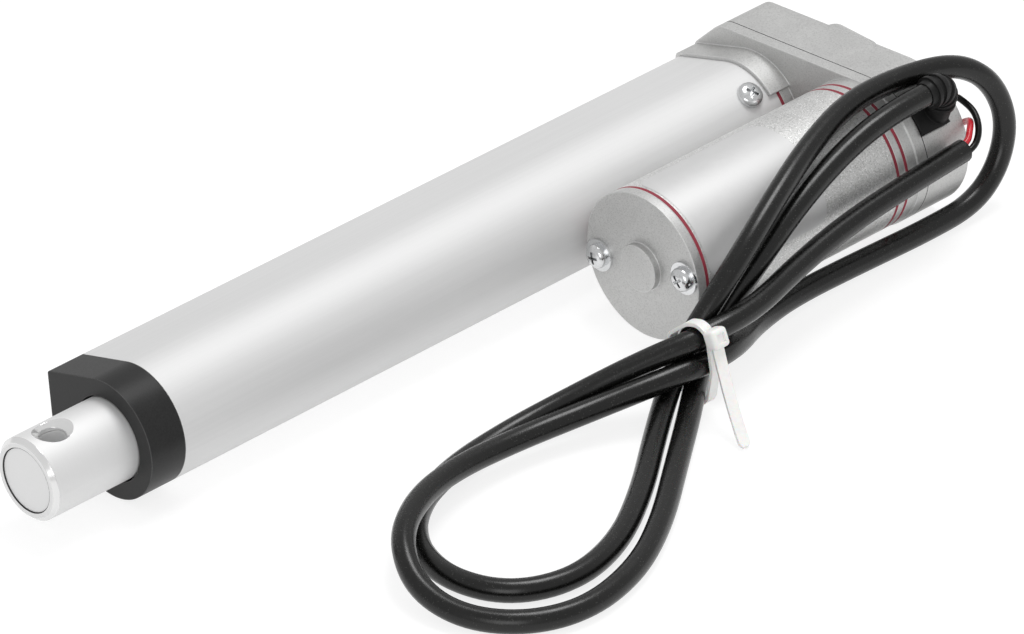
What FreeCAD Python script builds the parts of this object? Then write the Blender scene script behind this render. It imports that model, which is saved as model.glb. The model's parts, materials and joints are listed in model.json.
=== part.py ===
import FreeCAD, Part
import Sketcher
import math
import os

# Electric linear actuator: a teardrop extrusion with a push rod, and a motor lying beside it.
# Frame: origin in the rear eye, +X along the rod, +Y towards the motor, +Z up from the surface it lies on.

V = FreeCAD.Vector
X_AXIS = V(1, 0, 0)

# Driving dimensions in millimetres, degrees and counts: cell alias, value.
SIZES = [
    ("tube_radius", 14.6), ("tube_tip", 21.8), ("tube_turn", 156.6), ("tube_edge", 0.9), ("tube_bore", 12.3),
    ("side_reach", 16.155), ("side_drop", 10.258), ("tube_front", 221),
    ("cap_front", 231), ("cap_hole", 10.4), ("channel_floor", 8), ("channel_width", 3.6),
    ("channel_reach", 17.6),
    ("rod_radius", 10), ("rod_bore", 7.8), ("rod_tip", 255), ("rod_rear", 55), ("rod_chamfer", 1.0),
    ("rod_eye_x", 247), ("eye_radius", 3.2), ("sink_depth", 1.8),
    ("plug_radius", 7.7), ("plug_rear", 230), ("plug_back", 0.3),
    ("bush_rear", 212), ("seal_rear", 224), ("seal_front", 227.2), ("running_gap", 0.06),
    ("motor_y", 34.53), ("motor_z", 3.54), ("motor_radius", 18.12), ("housing_radius", 18.45),
    ("lug_radius", 9.2), ("lug_width", 10), ("cover_rear", 11.4), ("cover_floor", 13.9), ("parting_x", 24.6),
    ("shoulder_y", -13.1), ("shoulder_z", 17.5), ("shoulder_round", 5), ("corner_round", 3),
    ("plate_front", 27.8), ("boss_front", 30.85), ("hood_front", 34.1), ("hood_wall", 0.95),
    ("hood_cut", 46.5), ("wall", 2.2), ("gasket", 0.9), ("ring_length", 1.95),
    ("ring_bore", 12), ("shaft_hole", 6.5),
    ("thread_radius", 1.3), ("thread_boss", 2.9), ("thread_head", 2.5), ("thread_head_height", 1.6),
    ("motor_front", 95.9), ("end_cap_front", 99.3), ("end_boss_front", 101.1), ("end_boss_radius", 5.8),
    ("cover_bore", 16.6), ("can_radius", 16.4), ("can_bore", 15), ("can_rear", 35.2), ("can_front", 88),
    ("can_floor", 1.6), ("rear_bush", 4.5), ("front_bush", 3.5), ("bush_length", 4),
    ("bell_front", 94.6), ("bolt_circle", 14.05), ("bolt_turn", 12.8), ("bolt_radius", 1.5),
    ("bolt_length", 9), ("bolt_head", 2.9), ("bolt_head_height", 2.1), ("bolt_crown", 1.2),
    ("washer_radius", 4), ("washer_thick", 0.7),
    ("spigot_radius", 12.25), ("spigot_front", 44), ("bearing_radius", 11), ("bearing_rear", 33.2),
    ("bearing_front", 40.2), ("journal_radius", 4), ("screw_radius", 5), ("screw_front", 214),
    ("screw_shoulder", 40.5), ("collar_wall", 1.8), ("collar_length", 2.8),
    ("nut_rear", 47), ("nut_radius", 11.9), ("nut_neck", 8), ("trip_width", 2.8), ("trip_reach", 13.5),
    ("tube_screw_x", 38.8), ("tube_screw_turn", 55.3), ("tube_screw_head", 3.2), ("tube_screw_height", 1.9),
    ("gear_module", 1), ("gear_angle", 25), ("gear_addendum", 0.8), ("gear_dedendum", 1.1),
    ("gear_backlash", 0.12), ("pinion_teeth", 10), ("wheel_teeth", 26), ("idler_teeth", 12),
    ("screw_teeth", 22),
    ("stage_one_rear", 14.7), ("stage_one_front", 18.6), ("stage_two_rear", 19.4), ("stage_two_front", 23.6),
    ("pin_radius", 2), ("shaft_radius", 1.6), ("shaft_rear", 14.6), ("shaft_front", 94),
    ("magnet_bore", 12.3), ("magnet_rear", 45), ("magnet_front", 78), ("pole_gap", 10),
    ("armature_radius", 11.6), ("core_rear", 47), ("core_front", 76), ("core_slots", 5),
    ("coil_radius", 10.4), ("coil_bore", 3), ("coil_reach", 3.9), ("coil_edge", 1.2),
    ("commutator_radius", 4.2), ("commutator_rear", 81), ("commutator_front", 86.5),
    ("brush_length", 4), ("brush_width", 3.2), ("brush_height", 5), ("brush_lift", 0.3),
    ("board_reach", 17.2), ("board_thick", 0.8), ("board_width", 3.2), ("board_rear", 46),
    ("board_front", 210),
    ("switch_height", 2.5), ("switch_length", 8), ("switch_inset", 1), ("switch_travel", 151),
    ("cable_radius", 2.75), ("lead_radius", 0.8), ("elbow_radius", 3.45), ("elbow_bend", 4.6),
    ("stem_x", 17.6), ("stem_turn", 71), ("stem_length", 3.4), ("nose_end", 24.6), ("nose_radius", 2.95),
    ("rib_height", 0.45), ("rib_width", 0.9), ("grommet_turn", 45),
    ("grommet_rear", 15.9), ("grommet_foot", 14), ("grommet_base", 19.2), ("grommet_width", 8.4),
    ("tie_x", 110), ("tie_width", 3.4), ("tie_thick", 0.9), ("tie_room", 0.55), ("tie_lean", 25),
    ("head_length", 5.2), ("head_height", 3.8), ("head_width", 5), ("head_edge", 0.7),
    ("tail_width", 2.8), ("tail_ahead", 6.5), ("tail_end_y", 85.3), ("tail_sag", 1.6),
]

doc = FreeCAD.newDocument("linear_actuator")
sheet = doc.addObject("Spreadsheet::Sheet", "sizes")
for row, (alias, value) in enumerate(SIZES, start=1):
    sheet.set(f"A{row}", alias)
    sheet.set(f"B{row}", str(value))
    sheet.setAlias(f"B{row}", alias)
doc.recompute()

nodes = []


def size(alias):
    return float(getattr(sheet, alias))


FLOOR = -size("tube_radius")
MOTOR = (size("motor_y"), size("motor_z"))
MOTOR_CELLS = ("sizes.motor_y", "sizes.motor_z")
TUBE_CELLS = ("0", "0")


def bind(thing, **cells):
    """Binds properties to formulas over the sheet; a double underscore stands for a dot."""
    for prop, formula in cells.items():
        thing.setExpression(prop.replace("__", "."), formula)
    return thing


def keep(thing, name):
    thing.Label = name
    nodes.append(thing)
    return thing


def cell(text):
    """Turns a bare alias into a reference to the sheet, and leaves formulas alone."""
    return f"sizes.{text}" if text.isidentifier() else text


def disc(radius, rear, front, axis=TUBE_CELLS):
    """Cylinder along +X between two stations on the tube's or the motor's axis."""
    thing = doc.addObject("Part::Cylinder", "disc")
    thing.Placement = FreeCAD.Placement(V(), FreeCAD.Rotation(V(0, 1, 0), 90))
    rear, front = cell(rear), cell(front)
    return bind(thing, Radius=cell(radius), Height=f"{front} - ({rear})", Placement__Base__x=rear,
                Placement__Base__y=axis[0], Placement__Base__z=axis[1])


def fuse(*things):
    joined = doc.addObject("Part::MultiFuse", "joined")
    joined.Shapes = list(things)
    joined.Refine = True
    return joined


def cut(base, *tools):
    result = doc.addObject("Part::Cut", "cut")
    result.Base = base
    result.Tool = tools[0] if len(tools) == 1 else fuse(*tools)
    return result


def ring(outer, inner, rear, front, axis=TUBE_CELLS):
    return cut(disc(outer, rear, front, axis), disc(inner, f"{cell(rear)} - 1", f"{cell(front)} + 1", axis))


def solid(shape, name="solid"):
    """Free-form piece whose shape is worked out here from the sheet's sizes."""
    thing = doc.addObject("Part::Feature", name)
    thing.Shape = shape
    return thing


def group(name, things):
    """Several like solids in one node."""
    doc.recompute()
    return keep(solid(Part.makeCompound([t.Shape for t in things]), name), name)


def edge(*points):
    """Straight edge through two points, or an arc through three."""
    curve = Part.Arc(*points) if len(points) == 3 else Part.LineSegment(*points)
    return curve.toShape()


def polar(radius, degrees, centre=(0, 0)):
    turn = math.radians(degrees)
    return centre[0] + radius * math.cos(turn), centre[1] + radius * math.sin(turn)


# Sketches and bodies


def new_body(name, x="0", turn=None):
    body = doc.addObject("PartDesign::Body", name)
    body.Placement = FreeCAD.Placement(V(), FreeCAD.Rotation(X_AXIS, 0))
    bind(body, Placement__Base__x=cell(x))
    if turn:
        body.Placement.Rotation = FreeCAD.Rotation(X_AXIS, size(turn))
        bind(body, Placement__Rotation__Angle=cell(turn))
    return body


def new_sketch(body, name, role="YZ_Plane"):
    sketch = body.newObject("Sketcher::SketchObject", name)
    plane = next(f for f in body.Origin.OriginFeatures if f.Role == role)
    sketch.AttachmentSupport = [(plane, "")]
    sketch.MapMode = "FlatFace"
    return sketch


def constrain(sketch, *terms):
    return sketch.addConstraint(Sketcher.Constraint(*terms))


def dimension(sketch, name, formula, *terms):
    """Adds a named constraint and binds its value to the sheet."""
    index = constrain(sketch, *terms)
    sketch.renameConstraint(index, name)
    bind(sketch, **{f"Constraints__{name}": formula})


def sketch_circle(sketch, name, formula, radius, centre=V()):
    circle = sketch.addGeometry(Part.Circle(centre, V(0, 0, 1), radius))
    constrain(sketch, "Coincident", circle, 3, -1, 1)
    dimension(sketch, name, formula, "Radius", circle, radius)


def sketch_teardrop(sketch):
    """Round section with a corner on the sketch's x axis and a second beside it: an arc and three flats."""
    radius, tip = size("tube_radius"), size("tube_tip")
    side = V(size("side_reach"), size("side_drop"), 0)
    upper_turn = -math.acos(radius / tip)
    lower_turn = math.atan2(side.y, side.x) + math.acos(radius / side.Length)
    upper_touch = V(radius * math.cos(upper_turn), radius * math.sin(upper_turn), 0)
    lower_touch = V(radius * math.cos(lower_turn), radius * math.sin(lower_turn), 0)
    round_part = Part.Circle(V(), V(0, 0, 1), radius)
    arc = sketch.addGeometry(Part.ArcOfCircle(round_part, lower_turn, 2 * math.pi + upper_turn))
    upper = sketch.addGeometry(Part.LineSegment(upper_touch, V(tip, 0, 0)))
    flank = sketch.addGeometry(Part.LineSegment(V(tip, 0, 0), side))
    lower = sketch.addGeometry(Part.LineSegment(side, lower_touch))
    constrain(sketch, "Coincident", arc, 3, -1, 1)
    constrain(sketch, "Tangent", upper, 1, arc, 2)
    constrain(sketch, "Tangent", lower, 2, arc, 1)
    constrain(sketch, "Coincident", upper, 2, flank, 1)
    constrain(sketch, "Coincident", flank, 2, lower, 1)
    constrain(sketch, "PointOnObject", upper, 2, -1)
    dimension(sketch, "round", "sizes.tube_radius", "Radius", arc, radius)
    dimension(sketch, "corner", "sizes.tube_tip", "DistanceX", -1, 1, upper, 2, tip)
    dimension(sketch, "side_reach", "sizes.side_reach", "DistanceX", -1, 1, lower, 1, side.x)
    dimension(sketch, "side_drop", "sizes.side_drop", "DistanceY", -1, 1, lower, 1, side.y)


def pad(body, sketch, length):
    feature = body.newObject("PartDesign::Pad", "pad")
    feature.Profile = sketch
    bind(feature, Length=length)
    return feature


def pocket(body, sketch, length=None):
    """Cuts along +X from the sketch's plane, right through or to a depth."""
    feature = body.newObject("PartDesign::Pocket", "pocket")
    feature.Profile = sketch
    feature.Reversed = True
    feature.Type = 1
    if length:
        feature.Type = 0
        bind(feature, Length=length)
    return feature


def round_corner_edge(body, feature):
    """Rounds the long edges at the section's two corners."""
    doc.recompute()
    reaches = (size("tube_tip"), math.hypot(size("side_reach"), size("side_drop")))
    names = [f"Edge{i}" for i, e in enumerate(feature.Shape.Edges, start=1) if e.BoundBox.XLength > 1
             and any(all(abs(math.hypot(v.Y, v.Z) - r) < 0.01 for v in e.Vertexes) for r in reaches)]
    fillet = body.newObject("PartDesign::Fillet", "corner_round")
    fillet.Base = (feature, names)
    bind(fillet, Radius="sizes.tube_edge")
    return fillet


def teardrop_body(name, rear, front):
    """Length of the teardrop section, its corner turned up and away from the motor."""
    body = new_body(name, rear, "tube_turn")
    section = new_sketch(body, f"{name}_section")
    sketch_teardrop(section)
    round_corner_edge(body, pad(body, section, f"{cell(front)} - ({cell(rear)})"))
    return body


def bore(body, name, radius, length=None):
    section = new_sketch(body, f"{name}_section")
    sketch_circle(section, "round", cell(radius), 5)
    return pocket(body, section, length)


def slab(along, across, width, lo, hi, turn):
    """Box lying on a radius of the tube: x from lo to hi, radius from along to across."""
    box = Part.makeBox(hi - lo, across - along, width, V(lo, along, -width / 2))
    box.rotate(V(), X_AXIS, turn)
    return box


# Outer tube, its front cap and what seals and guides the rod

TUBE_REAR = "sizes.boss_front + sizes.gasket"
tube_rear = size("boss_front") + size("gasket")
turn = size("tube_turn")

tube = teardrop_body("tube_extrusion", TUBE_REAR, "tube_front")
bore(tube, "tube_bore", "tube_bore")
channel = solid(slab(size("channel_floor"), size("channel_reach"), size("channel_width"), tube_rear - 1,
                     size("tube_front") + 1, turn))


def radial_pin(radius, inner, outer, x, degrees, centre=(0, 0)):
    """Cylinder on a radius, from one distance off the axis to another."""
    start = polar(inner, degrees, centre)
    way = polar(1, degrees)
    return Part.makeCylinder(radius, outer - inner, V(x, *start), V(0, *way))


screw_x, screw_turn = size("tube_screw_x"), size("tube_screw_turn")
screw_hole = solid(radial_pin(size("bolt_radius"), size("bearing_radius") + 0.1, 20, screw_x, screw_turn))
keep(cut(tube, channel, screw_hole), "outer_tube")

cap = teardrop_body("cap_moulding", "tube_front", "cap_front")
bore(cap, "cap_hole", "cap_hole")
bore(cap, "cap_seat", "tube_bore", "sizes.seal_front - sizes.tube_front")
keep(cap, "front_cap")

ROD_RUN = "sizes.rod_radius + sizes.running_gap"
keep(ring("tube_bore", ROD_RUN, "bush_rear", "seal_rear"), "guide_bush")
keep(ring("tube_bore", ROD_RUN, "seal_rear", "seal_front"), "rod_seal")

# Push rod with its plugged eye, and the nut that drives it

rod = new_body("rod_tube", "rod_rear")
rod_section = new_sketch(rod, "rod_section")
sketch_circle(rod_section, "outside", "sizes.rod_radius", size("rod_radius"))
sketch_circle(rod_section, "inside", "sizes.rod_bore", size("rod_bore"))
rod_pad = pad(rod, rod_section, "sizes.rod_tip - sizes.rod_rear")
doc.recompute()
rod_length = size("rod_tip") - size("rod_rear")
tip_edges = [f"Edge{i}" for i, e in enumerate(rod_pad.Shape.Edges, start=1)
             if abs(e.CenterOfMass.x - rod_length) < 0.01 and e.BoundBox.YLength > 2 * size("rod_bore") + 1]
rod_chamfer = rod.newObject("PartDesign::Chamfer", "rod_chamfer")
rod_chamfer.Base = (rod_pad, tip_edges)
bind(rod_chamfer, Size="sizes.rod_chamfer")


def upright_hole(x, radius, length):
    pin = doc.addObject("Part::Cylinder", "eye_hole")
    return bind(pin, Radius=cell(radius), Height=length, Placement__Base__x=cell(x),
                Placement__Base__z=f"-({length}) / 2")


def countersink(side):
    """Cone that opens the eye's rim, above the axis or below it."""
    cone = doc.addObject("Part::Cone", "countersink")
    cone.Placement = FreeCAD.Placement(V(), FreeCAD.Rotation(X_AXIS, 0 if side > 0 else 180))
    return bind(cone, Radius1="sizes.eye_radius", Radius2="sizes.eye_radius + sizes.sink_depth + 1",
                Height="sizes.sink_depth + 1", Placement__Base__x="sizes.rod_eye_x",
                Placement__Base__z=f"{side} * (sizes.rod_radius - sizes.sink_depth)")


keep(cut(rod, upright_hole("rod_eye_x", "eye_radius", "30"), countersink(1), countersink(-1)), "push_rod")
plug = disc("plug_radius", "plug_rear", "sizes.rod_tip - sizes.plug_back")
keep(cut(plug, upright_hole("rod_eye_x", "eye_radius", "30")), "rod_plug")

trip = solid(slab(size("nut_radius") - 1.5, size("trip_reach"), size("trip_width"), size("nut_rear"),
                  size("rod_rear"), turn))
nut_body = fuse(disc("nut_radius", "nut_rear", "rod_rear"),
                disc("rod_bore", "rod_rear", "sizes.rod_rear + sizes.nut_neck"), trip)
nut_hole = disc("sizes.screw_radius + sizes.running_gap", "sizes.nut_rear - 1",
                "sizes.rod_rear + sizes.nut_neck + 1")
keep(cut(nut_body, nut_hole), "drive_nut")

# Gears: involute teeth thinned for backlash


def gear(teeth, rear, front, hole, phase, centre):
    """Spur gear with one tooth centred on the phase angle."""
    module, pressure = size("gear_module"), math.radians(size("gear_angle"))
    pitch = module * teeth / 2
    base = pitch * math.cos(pressure)
    tip, root = pitch + size("gear_addendum") * module, pitch - size("gear_dedendum") * module
    half_pitch_tooth = math.pi / (2 * teeth) - size("gear_backlash") / pitch
    spread = math.tan(pressure) - pressure

    def flank(radius):
        """Half the tooth's angle at a radius; below the base circle the flank is radial."""
        roll = math.acos(min(1, base / max(radius, base)))
        return half_pitch_tooth + spread - (math.tan(roll) - roll)

    def point(radius, angle):
        return V(rear, radius * math.cos(angle), radius * math.sin(angle))

    start = max(root, base)
    middle = (start + tip) / 2
    edges = []
    for index in range(teeth):
        axis = 2 * math.pi * index / teeth
        following = axis + 2 * math.pi / teeth
        rise, fall = [[point(r, axis + side * flank(r)) for r in (start, middle, tip)] for side in (-1, 1)]
        rise_foot, fall_foot = point(root, axis - flank(start)), point(root, axis + flank(start))
        if start > root:
            edges.append(edge(rise_foot, rise[0]))
        edges += [edge(*rise), edge(rise[2], point(tip, axis), fall[2]), edge(*fall[::-1])]
        if start > root:
            edges.append(edge(fall[0], fall_foot))
        next_foot = point(root, following - flank(start))
        edges.append(edge(fall_foot, point(root, (axis + following) / 2), next_foot))
    profile = Part.Wire(edges)
    blank = Part.Face(profile).extrude(V(front - rear, 0, 0))
    blank = blank.cut(Part.makeCylinder(hole, front - rear + 2, V(rear - 1, 0, 0), X_AXIS))
    blank.rotate(V(), X_AXIS, math.degrees(phase))
    blank.translate(V(0, *centre))
    return blank


def meeting_point(near, far, near_reach, far_reach):
    """Point at given distances from two axes, on the upper side of the line between them."""
    gap = math.dist(near, far)
    along = (near_reach ** 2 - far_reach ** 2 + gap ** 2) / (2 * gap)
    aside = math.sqrt(near_reach ** 2 - along ** 2)
    ux, uz = (far[0] - near[0]) / gap, (far[1] - near[1]) / gap
    return near[0] + along * ux - aside * uz, near[1] + along * uz + aside * ux


def heading(start, end):
    return math.atan2(end[1] - start[1], end[0] - start[0])


teeth = {name: int(size(f"{name}_teeth")) for name in ("pinion", "wheel", "idler", "screw")}
half_module = size("gear_module") / 2
SCREW = (0, 0)
IDLER = meeting_point(SCREW, MOTOR, half_module * (teeth["screw"] + teeth["idler"]),
                      half_module * (teeth["wheel"] + teeth["pinion"]))
to_idler, to_pinion = heading(SCREW, IDLER), heading(IDLER, MOTOR)
stage_one = (size("stage_one_rear"), size("stage_one_front"))
stage_two = (size("stage_two_rear"), size("stage_two_front"))

screw_gear = gear(teeth["screw"], *stage_two, size("journal_radius"), to_idler, SCREW)
keep(solid(screw_gear), "screw_gear")
pin_hole = size("pin_radius") + size("running_gap")
wheel = gear(teeth["wheel"], *stage_one, pin_hole, to_pinion, IDLER)
small_phase = to_idler + math.pi * (1 + 1 / teeth["idler"])
small = gear(teeth["idler"], stage_one[1], stage_two[1] + 0.2, pin_hole, small_phase, IDLER)
keep(solid(wheel.fuse(small).removeSplitter()), "idler_gear")
pinion = gear(teeth["pinion"], stage_one[0] + 0.1, stage_one[1] - 0.1, size("shaft_radius"),
              to_pinion + math.pi * (1 + 1 / teeth["pinion"]), MOTOR)
keep(solid(pinion), "motor_pinion")

pin_rear, pin_front = size("cover_floor") - 1.3, size("plate_front") - 0.8
idler_pin = Part.makeCylinder(size("pin_radius"), pin_front - pin_rear, V(pin_rear, *IDLER), X_AXIS)
keep(solid(idler_pin), "idler_pin")

# Lead screw on its bearing

lead_screw = fuse(disc("journal_radius", "stage_two_rear", "screw_shoulder"),
                  disc("screw_radius", "screw_shoulder", "screw_front"))
keep(lead_screw, "lead_screw")
keep(ring("bearing_radius", "sizes.journal_radius + sizes.running_gap / 3", "bearing_rear", "bearing_front"),
     "screw_bearing")
COLLAR_FRONT = "sizes.bearing_rear - 0.4"
COLLAR_REAR = f"{COLLAR_FRONT} - sizes.collar_length"
collar = ring("sizes.journal_radius + sizes.collar_wall", "journal_radius", COLLAR_REAR, COLLAR_FRONT)
keep(collar, "screw_collar")

# Gearbox: outline with a flat foot, round motor end and a corner over the tube


def corner_arc(before, corner, after, radius):
    """Tangent arc of a given radius at a corner: start, middle and end."""
    back, ahead = (before - corner).normalize(), (after - corner).normalize()
    half = back.getAngle(ahead) / 2
    middle = (back + ahead).normalize()
    reach = radius / math.tan(half)
    centre = corner + middle * (radius / math.sin(half))
    return corner + back * reach, centre - middle * radius, corner + ahead * reach


def section_corners(grow):
    """The tube's section made larger all round: upper touch, corner, side corner and lower touch."""
    round_radius, lean = size("tube_radius"), math.radians(turn)
    tip, side = polar(size("tube_tip"), turn), (size("side_reach"), size("side_drop"))
    side_gap, side_turn = math.hypot(*side), lean + math.atan2(side[1], side[0])
    side = (side_gap * math.cos(side_turn), side_gap * math.sin(side_turn))
    flank_turn = heading(tip, side) - math.pi / 2
    flats = [(lean - math.acos(round_radius / size("tube_tip")), round_radius + grow),
             (flank_turn, tip[0] * math.cos(flank_turn) + tip[1] * math.sin(flank_turn) + grow),
             (side_turn + math.acos(round_radius / side_gap), round_radius + grow)]
    crossings = []
    for (a, near), (b, far) in zip(flats, flats[1:]):
        crossings.append(((near * math.sin(b) - far * math.sin(a)) / math.sin(b - a),
                          (far * math.cos(a) - near * math.cos(b)) / math.sin(b - a)))
    return (polar(flats[0][1], math.degrees(flats[0][0])), *crossings,
            polar(flats[2][1], math.degrees(flats[2][0])))


def gearbox_outline(x):
    """Closed wire of the gearbox section in the plane at x."""
    tube_round = size("tube_radius") + size("hood_wall")
    _, corner, side_corner, touch = section_corners(size("hood_wall"))
    touch_turn = math.degrees(heading(SCREW, touch)) % 360
    foot_turn = 180 + math.degrees(math.asin(-FLOOR / tube_round))
    foot = polar(tube_round, foot_turn)
    round_end = size("housing_radius")
    heel_turn = math.degrees(math.asin((FLOOR - MOTOR[1]) / round_end))
    heel = polar(round_end, heel_turn, MOTOR)
    shoulder = (size("shoulder_y"), size("shoulder_z"))
    gap = math.dist(shoulder, MOTOR)
    top_turn = math.degrees(heading(MOTOR, shoulder) - math.acos(round_end / gap))
    top = polar(round_end, top_turn, MOTOR)

    def at(point):
        return V(x, *point)

    first = corner_arc(at(top), at(shoulder), at(corner), size("shoulder_round"))
    second = corner_arc(at(shoulder), at(corner), at(side_corner), size("corner_round"))
    third = corner_arc(at(corner), at(side_corner), at(touch), size("corner_round"))
    low = polar(tube_round, (touch_turn + foot_turn) / 2)
    side = polar(round_end, (heel_turn + top_turn) / 2, MOTOR)
    return Part.Wire([
        edge(at(top), first[0]), edge(*first), edge(first[2], second[0]), edge(*second),
        edge(second[2], third[0]), edge(*third), edge(third[2], at(touch)),
        edge(at(touch), at(low), at(foot)), edge(at(foot), at(heel)), edge(at(heel), at(side), at(top)),
    ])


def gearbox_block(rear, front, inset=0):
    face = Part.Face(gearbox_outline(rear))
    if inset:
        face = face.makeOffset2D(-inset)
    return face.extrude(V(front - rear, 0, 0))


def teardrop_block(rear, front, grow):
    """The tube's section made larger all round, between two stations."""
    upper, corner, side_corner, lower = [V(rear, *p) for p in section_corners(grow)]
    rounding = size("tube_edge") + max(grow, 0)
    first = corner_arc(upper, corner, side_corner, rounding)
    second = corner_arc(corner, side_corner, lower, rounding)
    far_side = V(rear, *polar(size("tube_radius") + grow, 0))
    wire = Part.Wire([
        edge(upper, first[0]), edge(*first), edge(first[2], second[0]), edge(*second), edge(second[2], lower),
        edge(lower, far_side, upper),
    ])
    return Part.Face(wire).extrude(V(front - rear, 0, 0))


# Places of the cover's screws across the gearbox
COVER_SCREWS = [(-13.0, 10.6), (27.0, 18.0), (49.2, 0.0), (26.0, -11.4)]
thread_radius = size("thread_radius")
cover_rear, cover_floor, parting = size("cover_rear"), size("cover_floor"), size("parting_x")
plate_front, boss_front, hood_front = size("plate_front"), size("boss_front"), size("hood_front")
screw_end = plate_front - 0.6


def along_x(radius, rear, front, point):
    return Part.makeCylinder(radius, front - rear, V(rear, *point), X_AXIS)


def grommet_seat(grow=0):
    """Block let into the cover's rim under the cable's elbow."""
    width = size("grommet_width") + grow
    rear, foot = size("grommet_rear"), size("grommet_foot")
    block = Part.makeBox(parting - rear, size("grommet_base") - foot, width, V(rear, foot, -width / 2))
    block.rotate(V(), X_AXIS, size("grommet_turn"))
    block.translate(V(0, *MOTOR))
    return block


cavity = gearbox_block(cover_floor, parting + 1, size("wall"))
for point in COVER_SCREWS:
    cavity = cavity.cut(along_x(size("thread_boss"), cover_floor - 1, parting + 2, point))
cavity = cavity.common(gearbox_block(cover_floor, parting + 1, size("wall")))
lug_radius, lug_width = size("lug_radius"), size("lug_width")
lug = Part.makeCylinder(lug_radius, lug_width, V(0, -lug_width / 2, 0), V(0, 1, 0))
lug = lug.fuse(Part.makeBox(cover_rear, lug_width, 2 * lug_radius, V(0, -lug_width / 2, -lug_radius)))
cover = gearbox_block(cover_rear, parting).fuse(lug).cut(cavity)
cover = cover.cut(Part.makeCylinder(size("eye_radius"), 30, V(0, -15, 0), V(0, 1, 0)))
cover = cover.cut([along_x(thread_radius, cover_rear - 1, parting + 1, p) for p in COVER_SCREWS])
cover = cover.cut([grommet_seat(), along_x(size("pin_radius"), pin_rear, parting, IDLER)])
keep(solid(cover.removeSplitter()), "rear_cover")

wedge_reach = 60
wedge_turns = (size("hood_cut"), 90, 140, 190, 225)
wedge_rim = [V(plate_front, *polar(wedge_reach, a)) for a in wedge_turns]
wedge = Part.Face(Part.makePolygon([V(plate_front, 0, 0), *wedge_rim, V(plate_front, 0, 0)]))
hood = teardrop_block(plate_front, hood_front, size("hood_wall")).common(wedge.extrude(V(20, 0, 0)))
housing = gearbox_block(parting, plate_front).fuse([
    hood, teardrop_block(plate_front, boss_front, 0),
    along_x(size("motor_radius"), plate_front, boss_front, MOTOR)])
housing = housing.cut(teardrop_block(boss_front, hood_front + 1, 0.02))
housing = housing.fuse(along_x(size("spigot_radius"), boss_front - 1, size("spigot_front"), SCREW))
housing = housing.cut([
    along_x(size("bearing_radius"), size("bearing_rear") - 0.2, size("spigot_front") + 1, SCREW),
    along_x(size("journal_radius") + 2.3, parting - 1, size("bearing_front"), SCREW),
    along_x(size("shaft_hole"), parting - 1, boss_front + 1, MOTOR),
    along_x(size("pin_radius"), parting - 1, pin_front, IDLER)])
thread_holes = [along_x(thread_radius, parting - 1, screw_end, p) for p in COVER_SCREWS]
housing = housing.cut(thread_holes + [screw_hole.Shape])
keep(solid(housing.removeSplitter()), "gear_housing")

heads = []
for point in COVER_SCREWS:
    head = along_x(size("thread_head"), cover_rear - size("thread_head_height"), cover_rear, point)
    shank = along_x(thread_radius, cover_rear - 0.5, screw_end, point)
    heads.append(solid(head.fuse(shank).removeSplitter()))
group("cover_screws", heads)

tube_seal = teardrop_block(boss_front, boss_front + size("gasket"), 0)
keep(solid(tube_seal.cut(along_x(size("spigot_radius"), boss_front - 1, 40, SCREW))), "tube_gasket")
tube_radius = size("tube_radius")
screw_head = radial_pin(size("tube_screw_head"), tube_radius - 0.15, tube_radius + size("tube_screw_height"),
                        screw_x, screw_turn)
shank = radial_pin(size("bolt_radius"), size("bearing_radius") + 0.2, tube_radius + 0.5, screw_x, screw_turn)
head_seat = Part.makeCylinder(tube_radius, 20, V(screw_x - 10, 0, 0), X_AXIS)
keep(solid(screw_head.fuse(shank).cut(head_seat.cut(shank)).removeSplitter()), "tube_screw")

# Motor from the gearbox forward: gasket, ring, gasket, cover, gasket, end cap

RING_REAR = "sizes.boss_front + sizes.gasket"
RING_FRONT = f"{RING_REAR} + sizes.ring_length"
COVER_REAR = f"{RING_FRONT} + sizes.gasket"
CAP_REAR = "sizes.motor_front + sizes.gasket"
keep(ring("motor_radius", "ring_bore", "boss_front", RING_REAR, MOTOR_CELLS), "motor_gasket_rear")
keep(ring("motor_radius", "ring_bore", RING_REAR, RING_FRONT, MOTOR_CELLS), "motor_adapter_ring")
keep(ring("motor_radius", "ring_bore", RING_FRONT, COVER_REAR, MOTOR_CELLS), "motor_gasket_front")
keep(ring("motor_radius", "cover_bore", COVER_REAR, "motor_front", MOTOR_CELLS), "motor_cover")

BOLTS = [polar(size("bolt_circle"), size("bolt_turn") + half, MOTOR) for half in (0, 180)]
cap_face = size("end_cap_front")


def bolt_holes(radius):
    return [solid(along_x(radius, cap_face - 12, cap_face + 3, point)) for point in BOLTS]


end_seal = ring("motor_radius", "sizes.can_bore - 4", "motor_front", CAP_REAR, MOTOR_CELLS)
keep(cut(end_seal, *bolt_holes(size("bolt_radius"))), "end_cap_gasket")
cap_disc = fuse(disc("motor_radius", CAP_REAR, "end_cap_front", MOTOR_CELLS),
                disc("end_boss_radius", CAP_REAR, "end_boss_front", MOTOR_CELLS))
keep(cut(cap_disc, *bolt_holes(size("bolt_radius"))), "motor_end_cap")

washers, bolts = [], []
washer_top = cap_face + size("washer_thick")
for point in BOLTS:
    washer = along_x(size("washer_radius"), cap_face, washer_top, point)
    washers.append(solid(washer.cut(along_x(size("bolt_radius"), cap_face - 1, washer_top + 1, point))))
    head = along_x(size("bolt_head"), washer_top, washer_top + size("bolt_head_height"), point)
    crown = [e for e in head.Edges if abs(e.CenterOfMass.x - head.BoundBox.XMax) < 0.01]
    head = head.makeFillet(size("bolt_crown"), crown)
    shank = along_x(size("bolt_radius"), cap_face - size("bolt_length"), washer_top + 0.5, point)
    bolts.append(solid(head.fuse(shank).removeSplitter()))
group("bolt_washers", washers)
group("motor_bolts", bolts)

# Inside the motor

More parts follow.
